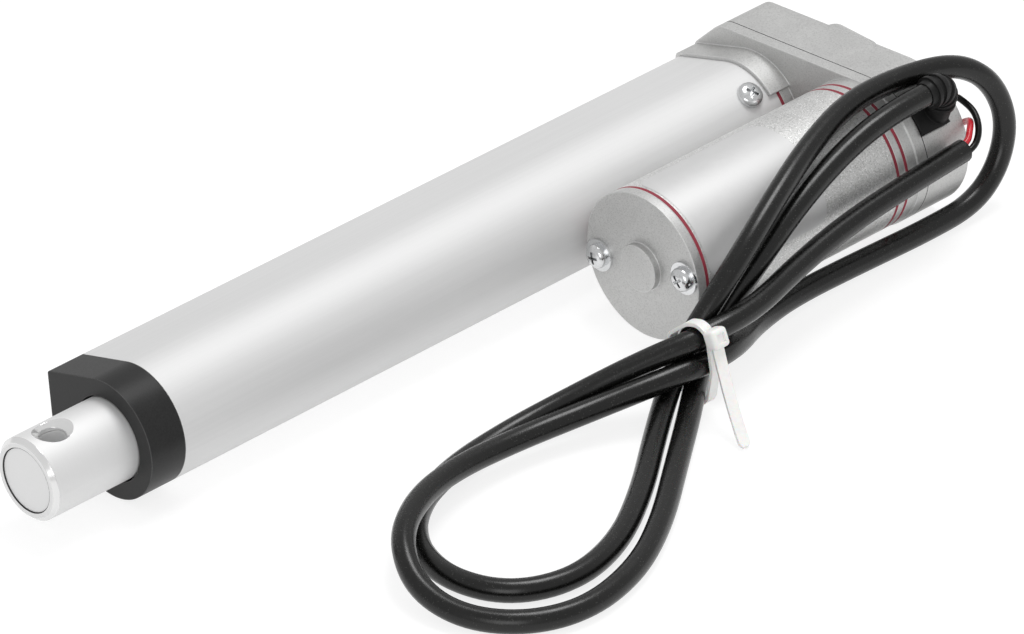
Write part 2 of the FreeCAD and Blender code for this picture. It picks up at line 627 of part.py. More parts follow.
can_shell = cut(disc("can_radius", "can_rear", "can_front", MOTOR_CELLS),
                disc("can_bore", "sizes.can_rear + sizes.can_floor", "sizes.can_front + 1", MOTOR_CELLS),
                disc("rear_bush", "sizes.can_rear - 1", "sizes.can_rear + 3", MOTOR_CELLS))
keep(can_shell, "motor_can")
SHAFT_RUN = "sizes.shaft_radius + sizes.running_gap / 3"
BUSH_FRONT = "sizes.can_rear + sizes.bush_length + 0.2"
keep(ring("rear_bush", SHAFT_RUN, "sizes.can_rear - 1.2", BUSH_FRONT, MOTOR_CELLS), "shaft_bush_rear")
bell = cut(disc("can_radius", "can_front", "bell_front", MOTOR_CELLS),
           disc("front_bush", "sizes.can_front - 1", "sizes.bell_front + 1", MOTOR_CELLS),
           *bolt_holes(size("bolt_radius")))
keep(bell, "brush_end_bell")
keep(ring("front_bush", SHAFT_RUN, "sizes.bell_front - sizes.bush_length", "bell_front", MOTOR_CELLS),
     "shaft_bush_front")

magnet_rear, magnet_front, pole_gap = size("magnet_rear"), size("magnet_front"), size("pole_gap")
magnet_ring = along_x(size("can_bore"), magnet_rear, magnet_front, MOTOR).cut(
    along_x(size("magnet_bore"), magnet_rear - 1, magnet_front + 1, MOTOR))
gap_box = Part.makeBox(60, 60, pole_gap, V(magnet_rear - 5, MOTOR[0] - 30, MOTOR[1] - pole_gap / 2))
group("field_magnets", [solid(s) for s in magnet_ring.cut(gap_box).Solids])

core_rear, core_front = size("core_rear"), size("core_front")
core = new_body("armature_core", "core_rear")
bind(core, Placement__Base__y="sizes.motor_y", Placement__Base__z="sizes.motor_z")
core_section = new_sketch(core, "core_section")
sketch_circle(core_section, "outside", "sizes.armature_radius", size("armature_radius"))
sketch_circle(core_section, "inside", "sizes.shaft_radius", size("shaft_radius"))
pad(core, core_section, "sizes.core_front - sizes.core_rear")
doc.recompute()
slot_section = new_sketch(core, "slot_section")
half_slot = [(5, 2.6), (8.8, 3.2), (9.6, 0.7), (13, 0.7)]
slot_points = [V(y, -z, 0) for y, z in half_slot] + [V(y, z, 0) for y, z in reversed(half_slot)]
slot_sides = [Part.LineSegment(a, b) for a, b in zip(slot_points, slot_points[1:] + slot_points[:1])]
slot_section.addGeometry(slot_sides, False)
slot = pocket(core, slot_section)
slots = core.newObject("PartDesign::PolarPattern", "slots")
slots.Originals = [slot]
slots.Axis = (core_section, ["N_Axis"])
slots.Angle = 360
slots.Occurrences = int(size("core_slots"))
core.Tip = slots
keep(core, "armature_core")

coils = []
for lo in (core_rear - 0.1 - size("coil_reach"), core_front + 0.1):
    hi = lo + size("coil_reach")
    end_turns = along_x(size("coil_radius"), lo, hi, MOTOR)
    rims = [e for e in end_turns.Edges if e.BoundBox.XLength < 0.01]
    end_turns = end_turns.makeChamfer(size("coil_edge"), rims)
    coils.append(solid(end_turns.cut(along_x(size("coil_bore"), lo - 1, hi + 1, MOTOR))))
group("armature_coils", coils)
keep(ring("commutator_radius", "shaft_radius", "commutator_rear", "commutator_front", MOTOR_CELLS),
     "commutator")
brushes = []
brush_size = V(size("brush_length"), size("brush_width"), size("brush_height"))
brush_gap = size("commutator_radius") + size("brush_lift")
for foot in (brush_gap, -brush_gap - brush_size.z):
    corner = V(size("commutator_rear") + 0.8, MOTOR[0] - brush_size.y / 2, MOTOR[1] + foot)
    brushes.append(solid(Part.makeBox(*brush_size, corner)))
group("carbon_brushes", brushes)
keep(disc("shaft_radius", "shaft_rear", "shaft_front", MOTOR_CELLS), "motor_shaft")

# Limit switches in the tube's corner channel

board_out, board_width, board_rear = size("board_reach"), size("board_width"), size("board_rear")
board_in = board_out - size("board_thick")
board = slab(board_in, board_out, board_width, board_rear, size("board_front"), turn)
keep(solid(board), "limit_switch_board")
switches = []
for rear in (board_rear + size("switch_inset"), board_rear + size("switch_inset") + size("switch_travel")):
    switches.append(solid(slab(board_in - size("switch_height"), board_in, board_width, rear,
                               rear + size("switch_length"), turn)))
group("limit_switches", switches)

# Cable: grommet and elbow, the free run, its two leads and the tie


def elbow_place(shape):
    """Turns a shape drawn with the stem along +Y onto the grommet's block."""
    shape.rotate(V(), X_AXIS, size("stem_turn"))
    shape.translate(V(0, *polar(size("grommet_base"), size("grommet_turn"), MOTOR)))
    return shape


bend, tube_r, stem_x, stem = size("elbow_bend"), size("elbow_radius"), size("stem_x"), size("stem_length")
bend_centre, bend_axis = V(stem_x + bend, stem, 0), V(0, 0, -1)


def bend_piece(radius, first, sweep):
    """Part of the boot's bend, from one angle round the bend's centre."""
    face = Part.Face(Part.Wire(Part.makeCircle(radius, V(stem_x, stem, 0), V(0, 1, 0))))
    face.rotate(bend_centre, bend_axis, first)
    return face.revolve(bend_centre, bend_axis, sweep)


mouth = V(stem_x + bend, stem + bend, 0)
rib, rib_width, rib_sweep = tube_r + size("rib_height"), size("rib_width"), 11
boot = Part.makeCylinder(tube_r, stem + 5, V(stem_x, -5, 0), V(0, 1, 0))
boot = boot.fuse([bend_piece(tube_r, 0, 90),
                  Part.makeCone(tube_r, size("nose_radius"), size("nose_end") - mouth.x, mouth, X_AXIS),
                  Part.makeCylinder(rib, rib_width, mouth, X_AXIS),
                  Part.makeCylinder(rib, rib_width, V(stem_x, stem - 1.2, 0), V(0, 1, 0)),
                  *[bend_piece(rib, first, rib_sweep) for first in (12, 40, 68)]])
boot = elbow_place(boot).cut(along_x(18.75, 0, 40, MOTOR))
keep(solid(boot.fuse(grommet_seat())), "cable_grommet")

ON_FLOOR = FLOOR + size("cable_radius")
# From the boot down the motor's side, through the tie, round the large front loop, back along the
# motor, up behind the gearbox, forward over the motor, round the front loop again and back to the end.
# The returning strands lie on top of the leaving ones at the tie.
CABLE_ROUTE = [
    (24.65, 50.71, 24.68), (36, 50.75, 24.7), (52, 51, 20.8), (69, 53.4, 15), (83, 55.8, 8), (95, 55.8, -1.4),
    (105, 58.8, -8.8), (118, 69, -11.4), (134, 81, ON_FLOOR), (153, 95.5, ON_FLOOR), (170, 105, ON_FLOOR),
    (188, 108.5, ON_FLOOR), (202, 103.5, ON_FLOOR), (210.5, 92, -11.8), (212, 79, -9.6), (206, 67.5, -5.4),
    (193, 59, -5.2), (176, 53.2, -7.6), (156, 52.8, -9), (138, 57, -7.6), (121, 63.8, -3.9),
    (108, 65.5, -3.8), (97, 62.6, -6), (82, 53.6, -10.9), (66, 50.2, ON_FLOOR), (46, 50.7, ON_FLOOR),
    (24, 51.8, ON_FLOOR), (7.5, 51.4, -11.7), (-1.6, 50.8, -5), (-5.1, 49.6, 5.8), (-1.6, 47, 16.6),
    (7.5, 44.2, 23.4), (22, 41.6, 25), (40, 41.8, 25.7), (58, 46.8, 24), (75, 53.1, 20.6), (90, 57.8, 14.6),
    (101, 58.8, 6), (109.5, 58.3, -3), (117, 61, -9.6), (130, 70, -11.7), (148, 84, ON_FLOOR),
    (166, 95, ON_FLOOR), (183, 98.5, ON_FLOOR), (197, 92.5, ON_FLOOR), (202.5, 79, ON_FLOOR),
    (199, 65, ON_FLOOR), (188, 53.8, ON_FLOOR), (172, 48, ON_FLOOR), (154, 46.8, -11.2), (138, 50.4, -7.8),
    (123, 57.2, -1.9), (108.5, 64.3, 2.7), (93, 64.4, 3.2), (76, 60.4, 4.6), (58, 57.9, 6.6), (38, 57, 8.2),
    (17, 56.5, 9.2),
]
RED_ROUTE = [(16.95, 55.9, 9.9), (14.7, 55.7, 10.3), (12.6, 54.2, 11.6), (10.3, 52.3, 12.2), (8.5, 50, 11),
             (7.7, 47.6, 9)]
BLACK_ROUTE = [(16.95, 57.2, 8.7), (14.5, 57.2, 9.0), (12.0, 56.4, 10.5), (10.0, 54.6, 12.4),
               (8.6, 51.9, 13.9), (7.9, 48.7, 14.6), (7.5, 45.5, 14.7)]


def tube_along(name, route, radius):
    """Tube on straight runs joined by the largest tangent arcs; its volume is compared with its length."""
    points = [V(*p) for p in route]
    edges, radii, last = [], [], points[0]
    for before, corner, after in zip(points, points[1:], points[2:]):
        shorter = min(before.distanceToPoint(corner), corner.distanceToPoint(after))
        bend_angle = (corner - before).getAngle(after - corner)
        arc_radius = 0.45 * shorter / math.tan(bend_angle / 2)
        arc = corner_arc(before, corner, after, arc_radius)
        edges += [edge(last, arc[0]), edge(*arc)]
        radii.append(round(arc_radius, 1))
        last = arc[2]
    edges.append(edge(last, points[-1]))
    path = Part.Wire(edges)
    start = Part.Wire(Part.makeCircle(radius, points[0], points[1] - points[0]))
    tube_shape = path.makePipeShell([start], True, False)
    ratio = tube_shape.Volume / (math.pi * radius ** 2 * path.Length)
    print(f"{name}: length {path.Length:.0f}, volume ratio {ratio:.4f}, smallest radii {sorted(radii)[:6]}")
    if abs(ratio - 1) > 0.01:
        raise ValueError(f"{name} is not a clean tube")
    return keep(solid(tube_shape), name)


tube_along("power_cable", CABLE_ROUTE, size("cable_radius"))
tube_along("red_lead", RED_ROUTE, size("lead_radius"))
tube_along("black_lead", BLACK_ROUTE, size("lead_radius"))

tie_x, tie_width, tie_thick = size("tie_x"), size("tie_width"), size("tie_thick")
tie_inside = size("cable_radius") + size("tie_room")
# Outermost strands that the band goes round, in the plane across the bundle
STRANDS = [(62.5, 1.8), (63.8, 2.3), (65, -3.9), (64, -10.3), (61.5, -9.7), (58.9, -5.1), (58.6, -1.8)]
loop = Part.Face(Part.makePolygon([V(tie_x - tie_width / 2, *p) for p in STRANDS + STRANDS[:1]]))
band = loop.makeOffset2D(tie_inside + tie_thick).extrude(V(tie_width, 0, 0))
band = band.cut(loop.makeOffset2D(tie_inside).extrude(V(tie_width, 0, 0)))
lean = size("tie_lean")
head_foot = polar(tie_inside + tie_thick / 2 + 0.05, lean, STRANDS[1])
head_size = V(size("head_length"), size("head_height"), size("head_width"))
tie_head = Part.makeBox(*head_size, V(-head_size.x / 2, 0, -head_size.z / 2))
tie_head = tie_head.makeFillet(size("head_edge"), tie_head.Edges)
tie_head.rotate(V(), X_AXIS, lean)
tie_head.translate(V(tie_x, *head_foot))
tail_start = V(tie_x, head_foot[0] + 2, head_foot[1])
tail_end = V(tie_x + size("tail_ahead"), size("tail_end_y"), FLOOR + 1)
tail_middle = (tail_start + tail_end) / 2 - V(0, 0, size("tail_sag"))
thin = V(0, 0, -tie_thick)
tail_side = Part.Wire([
    edge(tail_start, tail_middle, tail_end), edge(tail_end, tail_end + thin),
    edge(tail_end + thin, tail_middle + thin, tail_start + thin), edge(tail_start + thin, tail_start)])
tail_across = (tail_end - tail_start).cross(V(0, 0, 1)).normalize() * size("tail_width")
tail = Part.Face(tail_side).extrude(tail_across)
tail.translate(tail_across / -2)
keep(solid(band.fuse([tie_head, tail]).removeSplitter()), "cable_tie")

# Check every object, then write each piece
doc.recompute()
for thing in doc.Objects:
    if {"Invalid", "Error"} & set(thing.State):
        raise ValueError(f"{thing.Name} {thing.Label} failed: {thing.State}")
os.makedirs("parts", exist_ok=True)
for node in nodes:
    shape = node.Shape
    if shape.isNull() or not shape.isValid() or not shape.Solids:
        raise ValueError(f"{node.Label} has no valid solid")
for node in nodes:
    node.Shape.exportStep(f"parts/{node.Label}.step")
print(len(nodes), "pieces written")
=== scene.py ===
import json
import math
from collections import namedtuple

import bmesh
import bpy
from mathutils import Matrix, Vector


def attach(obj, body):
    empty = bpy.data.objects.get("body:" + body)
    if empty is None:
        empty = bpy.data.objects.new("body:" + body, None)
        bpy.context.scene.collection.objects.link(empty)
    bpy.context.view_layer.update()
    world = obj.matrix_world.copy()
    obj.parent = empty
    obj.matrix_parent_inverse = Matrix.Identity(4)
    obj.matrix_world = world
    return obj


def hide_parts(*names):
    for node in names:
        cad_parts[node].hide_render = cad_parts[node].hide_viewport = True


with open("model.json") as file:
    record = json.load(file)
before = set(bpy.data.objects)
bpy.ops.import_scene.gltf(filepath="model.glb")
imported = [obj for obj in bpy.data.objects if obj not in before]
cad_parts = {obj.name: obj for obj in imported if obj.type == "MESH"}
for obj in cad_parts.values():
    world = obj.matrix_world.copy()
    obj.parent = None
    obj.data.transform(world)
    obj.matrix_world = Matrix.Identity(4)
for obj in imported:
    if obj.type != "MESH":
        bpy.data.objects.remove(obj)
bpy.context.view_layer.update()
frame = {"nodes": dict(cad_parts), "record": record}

bl_info = {
    "name": "Linear actuator dressing",
    "version": (1, 0, 0),
    "blender": (4, 5, 0),
    "location": "3D View > Sidebar > Actuator",
    "description": "Cable, tie, screws, label and finishes for the packed linear actuator",
    "category": "Object",
}

# Shared sizes in millimetres, from the rear eye, with X along the rod and Z up.
MM = 0.001
FLOOR = -14.6
MOTOR_AXIS = (34.53, 3.54)
MOTOR_RADIUS = 18.12
CABLE_DIAMETER = 5.5
ON_FLOOR = FLOOR + CABLE_DIAMETER / 2

# An edge that turns by more than this many degrees stays sharp.
SHARP_ANGLE = 35


def linear(code):
    """An sRGB hex colour as the linear colour that a shader takes."""
    parts = [int(code[i:i + 2], 16) / 255 for i in (1, 3, 5)]
    return tuple(c / 12.92 if c <= 0.04045 else ((c + 0.055) / 1.055) ** 2.4 for c in parts) + (1.0,)


def colour_property(name, code, description):
    """A colour for the panel, from its sRGB hex value."""
    return bpy.props.FloatVectorProperty(name=name, description=description, default=linear(code), size=4,
                                         min=0, max=1, subtype="COLOR")


def length_property(name, size_mm, least_mm, description):
    """A length for the panel, kept in metres."""
    return bpy.props.FloatProperty(name=name, description=description, default=size_mm * MM,
                                   min=least_mm * MM, unit="LENGTH", precision=4)


class ActuatorColours(bpy.types.PropertyGroup):
    """Colours that a user may change before the finishes are made."""
    tube: colour_property("Tube", "#DEDEDE", "Anodised skin of the tube")
    rod: colour_property("Rod", "#E4E4E4", "Turned skin of the push rod")
    casting: colour_property("Casting", "#C9C9C8", "Blasted die castings")
    motor: colour_property("Motor cover", "#D2D2D1", "Sand-textured coat of the motor cover")
    label: colour_property("Label", "#D5D5D5", "Blank foil round the motor")
    gasket: colour_property("Gaskets", "#8C2C3B", "Sheet gaskets")
    cap: colour_property("Front cap", "#242424", "Moulded front cap")
    cable: colour_property("Cable", "#0B0B0A", "Cable jacket")
    red: colour_property("Red lead", "#C8202E", "Insulation of the red lead")
    tie: colour_property("Tie", "#F0F0EE", "Nylon tie")


class ActuatorSizes(bpy.types.PropertyGroup):
    """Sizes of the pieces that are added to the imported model, and of the stage."""
    cable: length_property("Cable diameter", CABLE_DIAMETER, 1, "Outside of the jacket")
    lead: length_property("Lead diameter", 1.6, 0.4, "Outside of each insulated lead")
    stripped: length_property("Stripped length", 3.2, 1, "Bare wire at each lead's end")
    label_corner: length_property("Label corner", 4, 0.5, "Corner radius of the blank label")
    floor_span: length_property("Floor", 9000, 1000, "Side of the square floor")
    lens: bpy.props.FloatProperty(name="Lens", description="Focal length on a 36 mm sensor", default=297.82,
                                  min=10, unit="CAMERA")


# A Mix node's sockets go by number: its two colours and their result, then its two plain values.
COLOUR_A, COLOUR_B, COLOUR_OUT = 6, 7, 2
VALUE_A, VALUE_B = 2, 3

# How much the slow patches add to a grain, and the spans of their sum in which tint and gloss change.
PATCH_SHARE = 0.35
TINT_SPAN = (0.45, 0.9)
GLOSS_SPAN = (0.4, 0.95)

# The cosines of the lean at which the softened normal begins to be an edge and at which it fully is one.
EDGE_BEGINS, EDGE_IS_FULL = 0.995, 0.9

# How far from the middle of its cell a speck ends and how far it is solid, as shares of the cell.
SPECK_ENDS, SPECK_IS_FULL = 0.5, 0.3

# A finish in the making: place is the object coordinates and soft the softened normal.
Surface = namedtuple("Surface", "material tree shader place soft tint gloss")


def put(tree, kind, sockets=None, out=0, **settings):
    """Adds one node with its own settings and returns one of its outputs.

    Each socket is given a value, or is linked to another node's output.
    """
    made = tree.nodes.new(kind)
    for name, value in settings.items():
        setattr(made, name, value)
    for key, value in (sockets or {}).items():
        if isinstance(value, bpy.types.NodeSocket):
            tree.links.new(value, made.inputs[key])
        else:
            made.inputs[key].default_value = value
    return made.outputs[out]


def blank_material(name):
    """A new material, its node tree and its shader."""
    made = bpy.data.materials.new(name)
    made.use_nodes = True
    return made, made.node_tree, made.node_tree.nodes["Principled BSDF"]


def chosen(name):
    """A colour as the panel has it."""
    return getattr(bpy.context.scene.actuator_colours, name)


def shade(colour, factor):
    """A colour made darker or lighter by a factor."""
    return tuple(min(1.0, c * factor) for c in colour[:3]) + (1.0,)


def off_axis(tree, place):
    """How far a point is along the rod's axis, and how far from it."""
    along, y, z = put(tree, "ShaderNodeSeparateXYZ", {0: place}).node.outputs
    aside = put(tree, "ShaderNodeCombineXYZ", {1: y, 2: z})
    return along, put(tree, "ShaderNodeVectorMath", {0: aside}, out="Value", operation="LENGTH")


def grained(name, colour, rough, grain_mm, metallic=0.0, spread=0.08, stretch=(1, 1, 1), height_mm=0.02,
            patch_mm=14.0, rounding_mm=0.25, specular=0.5, turned=False):
    """A surface with a fine grain, slow patches, uneven gloss and edges softened by a given rounding.

    A turned surface has its grain in rings round the rod's axis, on the side and on the end. The softened
    normal, the tint and the gloss are returned too, for finishes that add to them.
    """
    made, tree, shader = blank_material(name)
    place = put(tree, "ShaderNodeTexCoord", out="Object")
    if turned:
        along, radius = off_axis(tree, place)
        drawn = put(tree, "ShaderNodeCombineXYZ", {0: along, 1: radius})
    else:
        drawn = put(tree, "ShaderNodeMapping", {"Vector": place, "Scale": stretch})
    grain = put(tree, "ShaderNodeTexNoise",
                {"Vector": drawn, "Scale": 1 / (grain_mm * MM), "Detail": 3, "Roughness": 0.6})
    patch = put(tree, "ShaderNodeTexNoise", {"Vector": place, "Scale": 1 / (patch_mm * MM), "Detail": 2})
    both = put(tree, "ShaderNodeMath", {0: patch, 1: PATCH_SHARE, 2: grain}, operation="MULTIPLY_ADD")
    level = put(tree, "ShaderNodeMapRange",
                {"Value": both, "From Min": TINT_SPAN[0], "From Max": TINT_SPAN[1]})
    tint = put(tree, "ShaderNodeMix",
               {0: level, COLOUR_A: shade(colour, 1 - spread), COLOUR_B: shade(colour, 1 + spread)},
               out=COLOUR_OUT, data_type="RGBA")
    gloss = put(tree, "ShaderNodeMapRange",
                {"Value": both, "From Min": GLOSS_SPAN[0], "From Max": GLOSS_SPAN[1],
                 "To Min": rough[0], "To Max": rough[1]})
    soft = put(tree, "ShaderNodeBevel", {"Radius": rounding_mm * MM}, samples=6)
    raised = put(tree, "ShaderNodeBump",
                 {"Height": grain, "Distance": height_mm * MM, "Strength": 1.0, "Normal": soft})
    shader.inputs["Metallic"].default_value = metallic
    shader.inputs["Specular IOR Level"].default_value = specular
    for key, value in (("Base Color", tint), ("Roughness", gloss), ("Normal", raised)):
        tree.links.new(value, shader.inputs[key])
    return Surface(made, tree, shader, place, soft, tint, gloss)


def highlit_and_worn_edges(surface, tint, bright, amount):
    """Lightens what the rounding finds to be an edge: a painted highlight on rounded edges, which on nylon
    stands for scuffs as well; returns the new tint.
    """
    tree = surface.tree
    flat = put(tree, "ShaderNodeNewGeometry", out="Normal")
    lean = put(tree, "ShaderNodeVectorMath", {0: surface.soft, 1: flat}, out="Value",
               operation="DOT_PRODUCT")
    edge = put(tree, "ShaderNodeMapRange",
               {"Value": lean, "From Min": EDGE_BEGINS, "From Max": EDGE_IS_FULL, "To Min": 0.0,
                "To Max": amount})
    return put(tree, "ShaderNodeMix", {0: edge, COLOUR_A: tint, COLOUR_B: bright}, out=COLOUR_OUT,
               data_type="RGBA")


def specks(surface, tint, colour, size_mm, share):
    """Scatters small spots of another colour over a share of a surface's cells; returns the new tint."""
    tree = surface.tree
    cells = put(tree, "ShaderNodeTexVoronoi",
                {"Vector": surface.place, "Scale": 1 / (size_mm * MM)}).node.outputs
    spot = put(tree, "ShaderNodeMapRange",
               {"Value": cells["Distance"], "From Min": SPECK_ENDS, "From Max": SPECK_IS_FULL})
    lot = put(tree, "ShaderNodeSeparateXYZ", {0: cells["Color"]})
    taken = put(tree, "ShaderNodeMath", {0: lot, 1: share}, operation="LESS_THAN")
    amount = put(tree, "ShaderNodeMath", {0: spot, 1: taken}, operation="MULTIPLY")
    return put(tree, "ShaderNodeMix", {0: amount, COLOUR_A: tint, COLOUR_B: colour}, out=COLOUR_OUT,
               data_type="RGBA")


def anodised_aluminium():
    # Extruded and anodised: pale grey with a soft satin gleam, in faint streaks 0.9 mm wide along the tube.
    return grained("anodised_aluminium", chosen("tube"), metallic=0.6, rough=(0.64, 0.72), grain_mm=0.9,
                   spread=0.025, stretch=(0.012, 1, 1), height_mm=0.003, patch_mm=40).material


# Cuts on the rod, in millimetres. A cut is drawn within a small distance of its surface.
# The plug's radius and the width round it place the line of painted shade in its gap.
PLUG_RADIUS = 7.76
PLUG_WITHIN = 0.11
TIP_BEGINS = 253.5
CROSS_HOLE_X = 247
# On the chamfer's cone, the way along and the radius always add up to the same.
CHAMFER_SUM = 264
CHAMFER_WITHIN = 0.15
# On the countersink's cone, the height less the distance from the hole's axis is always the same.
COUNTERSINK_STEP = 5
COUNTERSINK_WITHIN = 0.05
CUT_ROUGHNESS = 0.15


def turned_aluminium():
    # Turned and fine-polished: nearly white. Its rings are too fine to see, so they are drawn 0.5 mm apart.
    rod = grained("turned_aluminium", chosen("rod"), metallic=0.55, rough=(0.58, 0.68), grain_mm=0.5,
                  spread=0.015, height_mm=0.001, patch_mm=20, rounding_mm=0.35, turned=True)
    tree = rod.tree
    along, radius = off_axis(tree, rod.place)
    # A dark line of painted shade shows the gap where the plug meets the rod's end.
    line = put(tree, "ShaderNodeMath", {0: radius, 1: PLUG_RADIUS * MM, 2: PLUG_WITHIN * MM},
               operation="COMPARE")
    at_tip = put(tree, "ShaderNodeMath", {0: along, 1: TIP_BEGINS * MM}, operation="GREATER_THAN")
    shaded_gap = put(tree, "ShaderNodeMath", {0: line, 1: at_tip}, operation="MULTIPLY")
    parted = put(tree, "ShaderNodeMix", {0: shaded_gap, COLOUR_A: rod.tint, COLOUR_B: linear("#484848")},
                 out=COLOUR_OUT, data_type="RGBA")
    tree.links.new(parted, rod.shader.inputs["Base Color"])
    # The chamfer is bright from the tool, and so is the countersink of the cross hole.
    slope = put(tree, "ShaderNodeMath", {0: along, 1: radius}, operation="ADD")
    chamfer = put(tree, "ShaderNodeMath", {0: slope, 1: CHAMFER_SUM * MM, 2: CHAMFER_WITHIN * MM},
                  operation="COMPARE")
    centred = put(tree, "ShaderNodeMapping", {"Vector": rod.place, "Location": (-CROSS_HOLE_X * MM, 0, 0)})
    x, y, z = put(tree, "ShaderNodeSeparateXYZ", {0: centred}).node.outputs
    flat = put(tree, "ShaderNodeCombineXYZ", {0: x, 1: y})
    reach = put(tree, "ShaderNodeVectorMath", {0: flat}, out="Value", operation="LENGTH")
    height = put(tree, "ShaderNodeMath", {0: z}, operation="ABSOLUTE")
    step = put(tree, "ShaderNodeMath", {0: height, 1: reach}, operation="SUBTRACT")
    cone = put(tree, "ShaderNodeMath", {0: step, 1: COUNTERSINK_STEP * MM, 2: COUNTERSINK_WITHIN * MM},
               operation="COMPARE")
    cut = put(tree, "ShaderNodeMath", {0: cone, 1: chamfer}, operation="MAXIMUM")
    gloss = put(tree, "ShaderNodeMix", {0: cut, VALUE_A: rod.gloss, VALUE_B: CUT_ROUGHNESS})
    tree.links.new(gloss, rod.shader.inputs["Roughness"])
    return rod.material


# The seam between the gearbox's two halves, in millimetres along the tube, and half its width.
SEAM_X = 24.6
SEAM_WITHIN = 0.13


def die_cast_aluminium():
    # Die cast and bead blasted: mid grey, dull and speckled, with a painted highlight on its rounded edges
    # and a dark seam.
    # The blast's 0.2 mm pits are drawn 0.3 to 0.45 mm wide so that they show.
    casting = grained("die_cast_aluminium", chosen("casting"), metallic=0.85, rough=(0.42, 0.62),
                      grain_mm=0.45, spread=0.1, height_mm=0.025, patch_mm=9, rounding_mm=0.5)
    tree = casting.tree
    pitted = specks(casting, casting.tint, shade(chosen("casting"), 0.8), size_mm=0.32, share=0.3)
    # The pale edges are a painted highlight.
    edge_highlit = highlit_and_worn_edges(casting, pitted, linear("#F2F2F2"), amount=0.55)
    along = put(tree, "ShaderNodeSeparateXYZ", {0: casting.place})
    seam = put(tree, "ShaderNodeMath", {0: along, 1: SEAM_X * MM, 2: SEAM_WITHIN * MM}, operation="COMPARE")
    parted = put(tree, "ShaderNodeMix", {0: seam, COLOUR_A: edge_highlit, COLOUR_B: linear("#3A3A3B")},
                 out=COLOUR_OUT, data_type="RGBA")
    tree.links.new(parted, casting.shader.inputs["Base Color"])
    return casting.material


def sand_silver_paint():
    # Silver paint on a sand-blasted cover: dark grit and painted glints in bright specks, of 0.3 to 0.45
    # mm, break up reflections.
    paint = grained("sand_silver_paint", chosen("motor"), metallic=0.7, rough=(0.36, 0.6), grain_mm=0.45,
                    spread=0.17, height_mm=0.05, patch_mm=18)
    dark = specks(paint, paint.tint, shade(chosen("motor"), 0.66), size_mm=0.34, share=0.36)
    # The bright specks are painted glints.
    painted_glints = specks(paint, dark, linear("#FAFAFA"), size_mm=0.3, share=0.25)
    paint.tree.links.new(painted_glints, paint.shader.inputs["Base Color"])
    return paint.material


def polyester_foil():
    # Polyester foil label, left blank: smoother and whiter than the paint round it.
    return grained("polyester_foil", chosen("label"), metallic=0.55, rough=(0.48, 0.56), grain_mm=2.4,
                   spread=0.02, height_mm=0.004, patch_mm=30, rounding_mm=0.05).material


def gasket_fibre():
    # Pressed fibre gasket: crimson and matt, with a cut edge made a little fuzzy by fibres 0.35 mm wide.
    return grained("gasket_fibre", chosen("gasket"), rough=(0.55, 0.75), grain_mm=0.35, spread=0.2,
                   height_mm=0.03, patch_mm=6, rounding_mm=0.1).material


def zinc_plated_steel():
    # Bright zinc plate on pressed steel: mirror-like with a little haze.
    return grained("zinc_plated_steel", linear("#DADBDC"), metallic=1.0, rough=(0.14, 0.28), grain_mm=0.6,
                   spread=0.05, height_mm=0.004, patch_mm=5, rounding_mm=0.1).material


def moulded_nylon():
    # Glass-filled nylon moulding: black satin with a spark-eroded grain, and pale edges that are a painted
    # highlight and scuffs.
    nylon = grained("moulded_nylon", chosen("cap"), rough=(0.34, 0.46), grain_mm=0.4, spread=0.25,
                    height_mm=0.012, patch_mm=8, rounding_mm=0.45, specular=0.25)
    # The pale edges are a painted highlight, with scuffs.
    highlit_scuffed = highlit_and_worn_edges(nylon, nylon.tint, linear("#6A6A6A"), amount=0.6)
    nylon.tree.links.new(highlit_scuffed, nylon.shader.inputs["Base Color"])
    return nylon.material


def boot_rubber():
    # Moulded rubber boot: dull black, a little greyer in patches.
    return grained("boot_rubber", linear("#161616"), rough=(0.4, 0.6), grain_mm=0.6, spread=0.3,
                   height_mm=0.02, patch_mm=5, rounding_mm=0.3, specular=0.25).material


def cable_vinyl():
    # Extruded vinyl jacket: deep black and satin, with a slight orange peel and fine grey specks of dust.
    jacket = grained("cable_vinyl", chosen("cable"), rough=(0.22, 0.32), grain_mm=1.1, spread=0.3,
                     height_mm=0.008, patch_mm=16, rounding_mm=0.1, specular=0.42)
    dusty = specks(jacket, jacket.tint, linear("#3C3C3A"), size_mm=0.28, share=0.05)
    jacket.tree.links.new(dusty, jacket.shader.inputs["Base Color"])
    return jacket.material


def red_wire_vinyl():
    # Thin red vinyl over the wire: smooth and glossy.
    return grained("red_wire_vinyl", chosen("red"), rough=(0.28, 0.38), grain_mm=0.8, spread=0.1,
                   height_mm=0.006, patch_mm=5, rounding_mm=0.05).material


def black_wire_vinyl():
    # Thin black vinyl over the wire: smooth and glossy.
    return grained("black_wire_vinyl", chosen("cable"), rough=(0.26, 0.36), grain_mm=0.8, spread=0.2,
                   height_mm=0.006, patch_mm=5, rounding_mm=0.05, specular=0.25).material


def tie_nylon():
    # Natural nylon 66: milky white, with a faint moulded grain, and light goes 0.6 mm into it.
    nylon = grained("tie_nylon", chosen("tie"), rough=(0.34, 0.46), grain_mm=0.9, spread=0.03,
                    height_mm=0.01, patch_mm=7, rounding_mm=0.25)
    nylon.shader.inputs["Subsurface Weight"].default_value = 0.25
    nylon.shader.inputs["Subsurface Scale"].default_value = 0.6 * MM
    return nylon.material


def acetal():
    # Cut from natural acetal: creamy white and waxy.
    return grained("acetal", linear("#EAE8DF"), rough=(0.32, 0.44), grain_mm=0.7, spread=0.03,
                   height_mm=0.006, rounding_mm=0.15).material


def turned_steel():
    # Turned steel: bright grey with rings across its axis, drawn 0.6 mm apart so that they show.
    return grained("turned_steel", linear("#B9BABC"), metallic=1.0, rough=(0.22, 0.36), grain_mm=0.6,
                   spread=0.08, height_mm=0.006, rounding_mm=0.15, stretch=(1, 0.05, 0.05)).material


# The armature's sheets in millimetres: their thickness, and how far from a joint its line ends and is full.
SHEET_THICK = 0.5
JOINT_ENDS, JOINT_IS_FULL = 0.08, 0.03


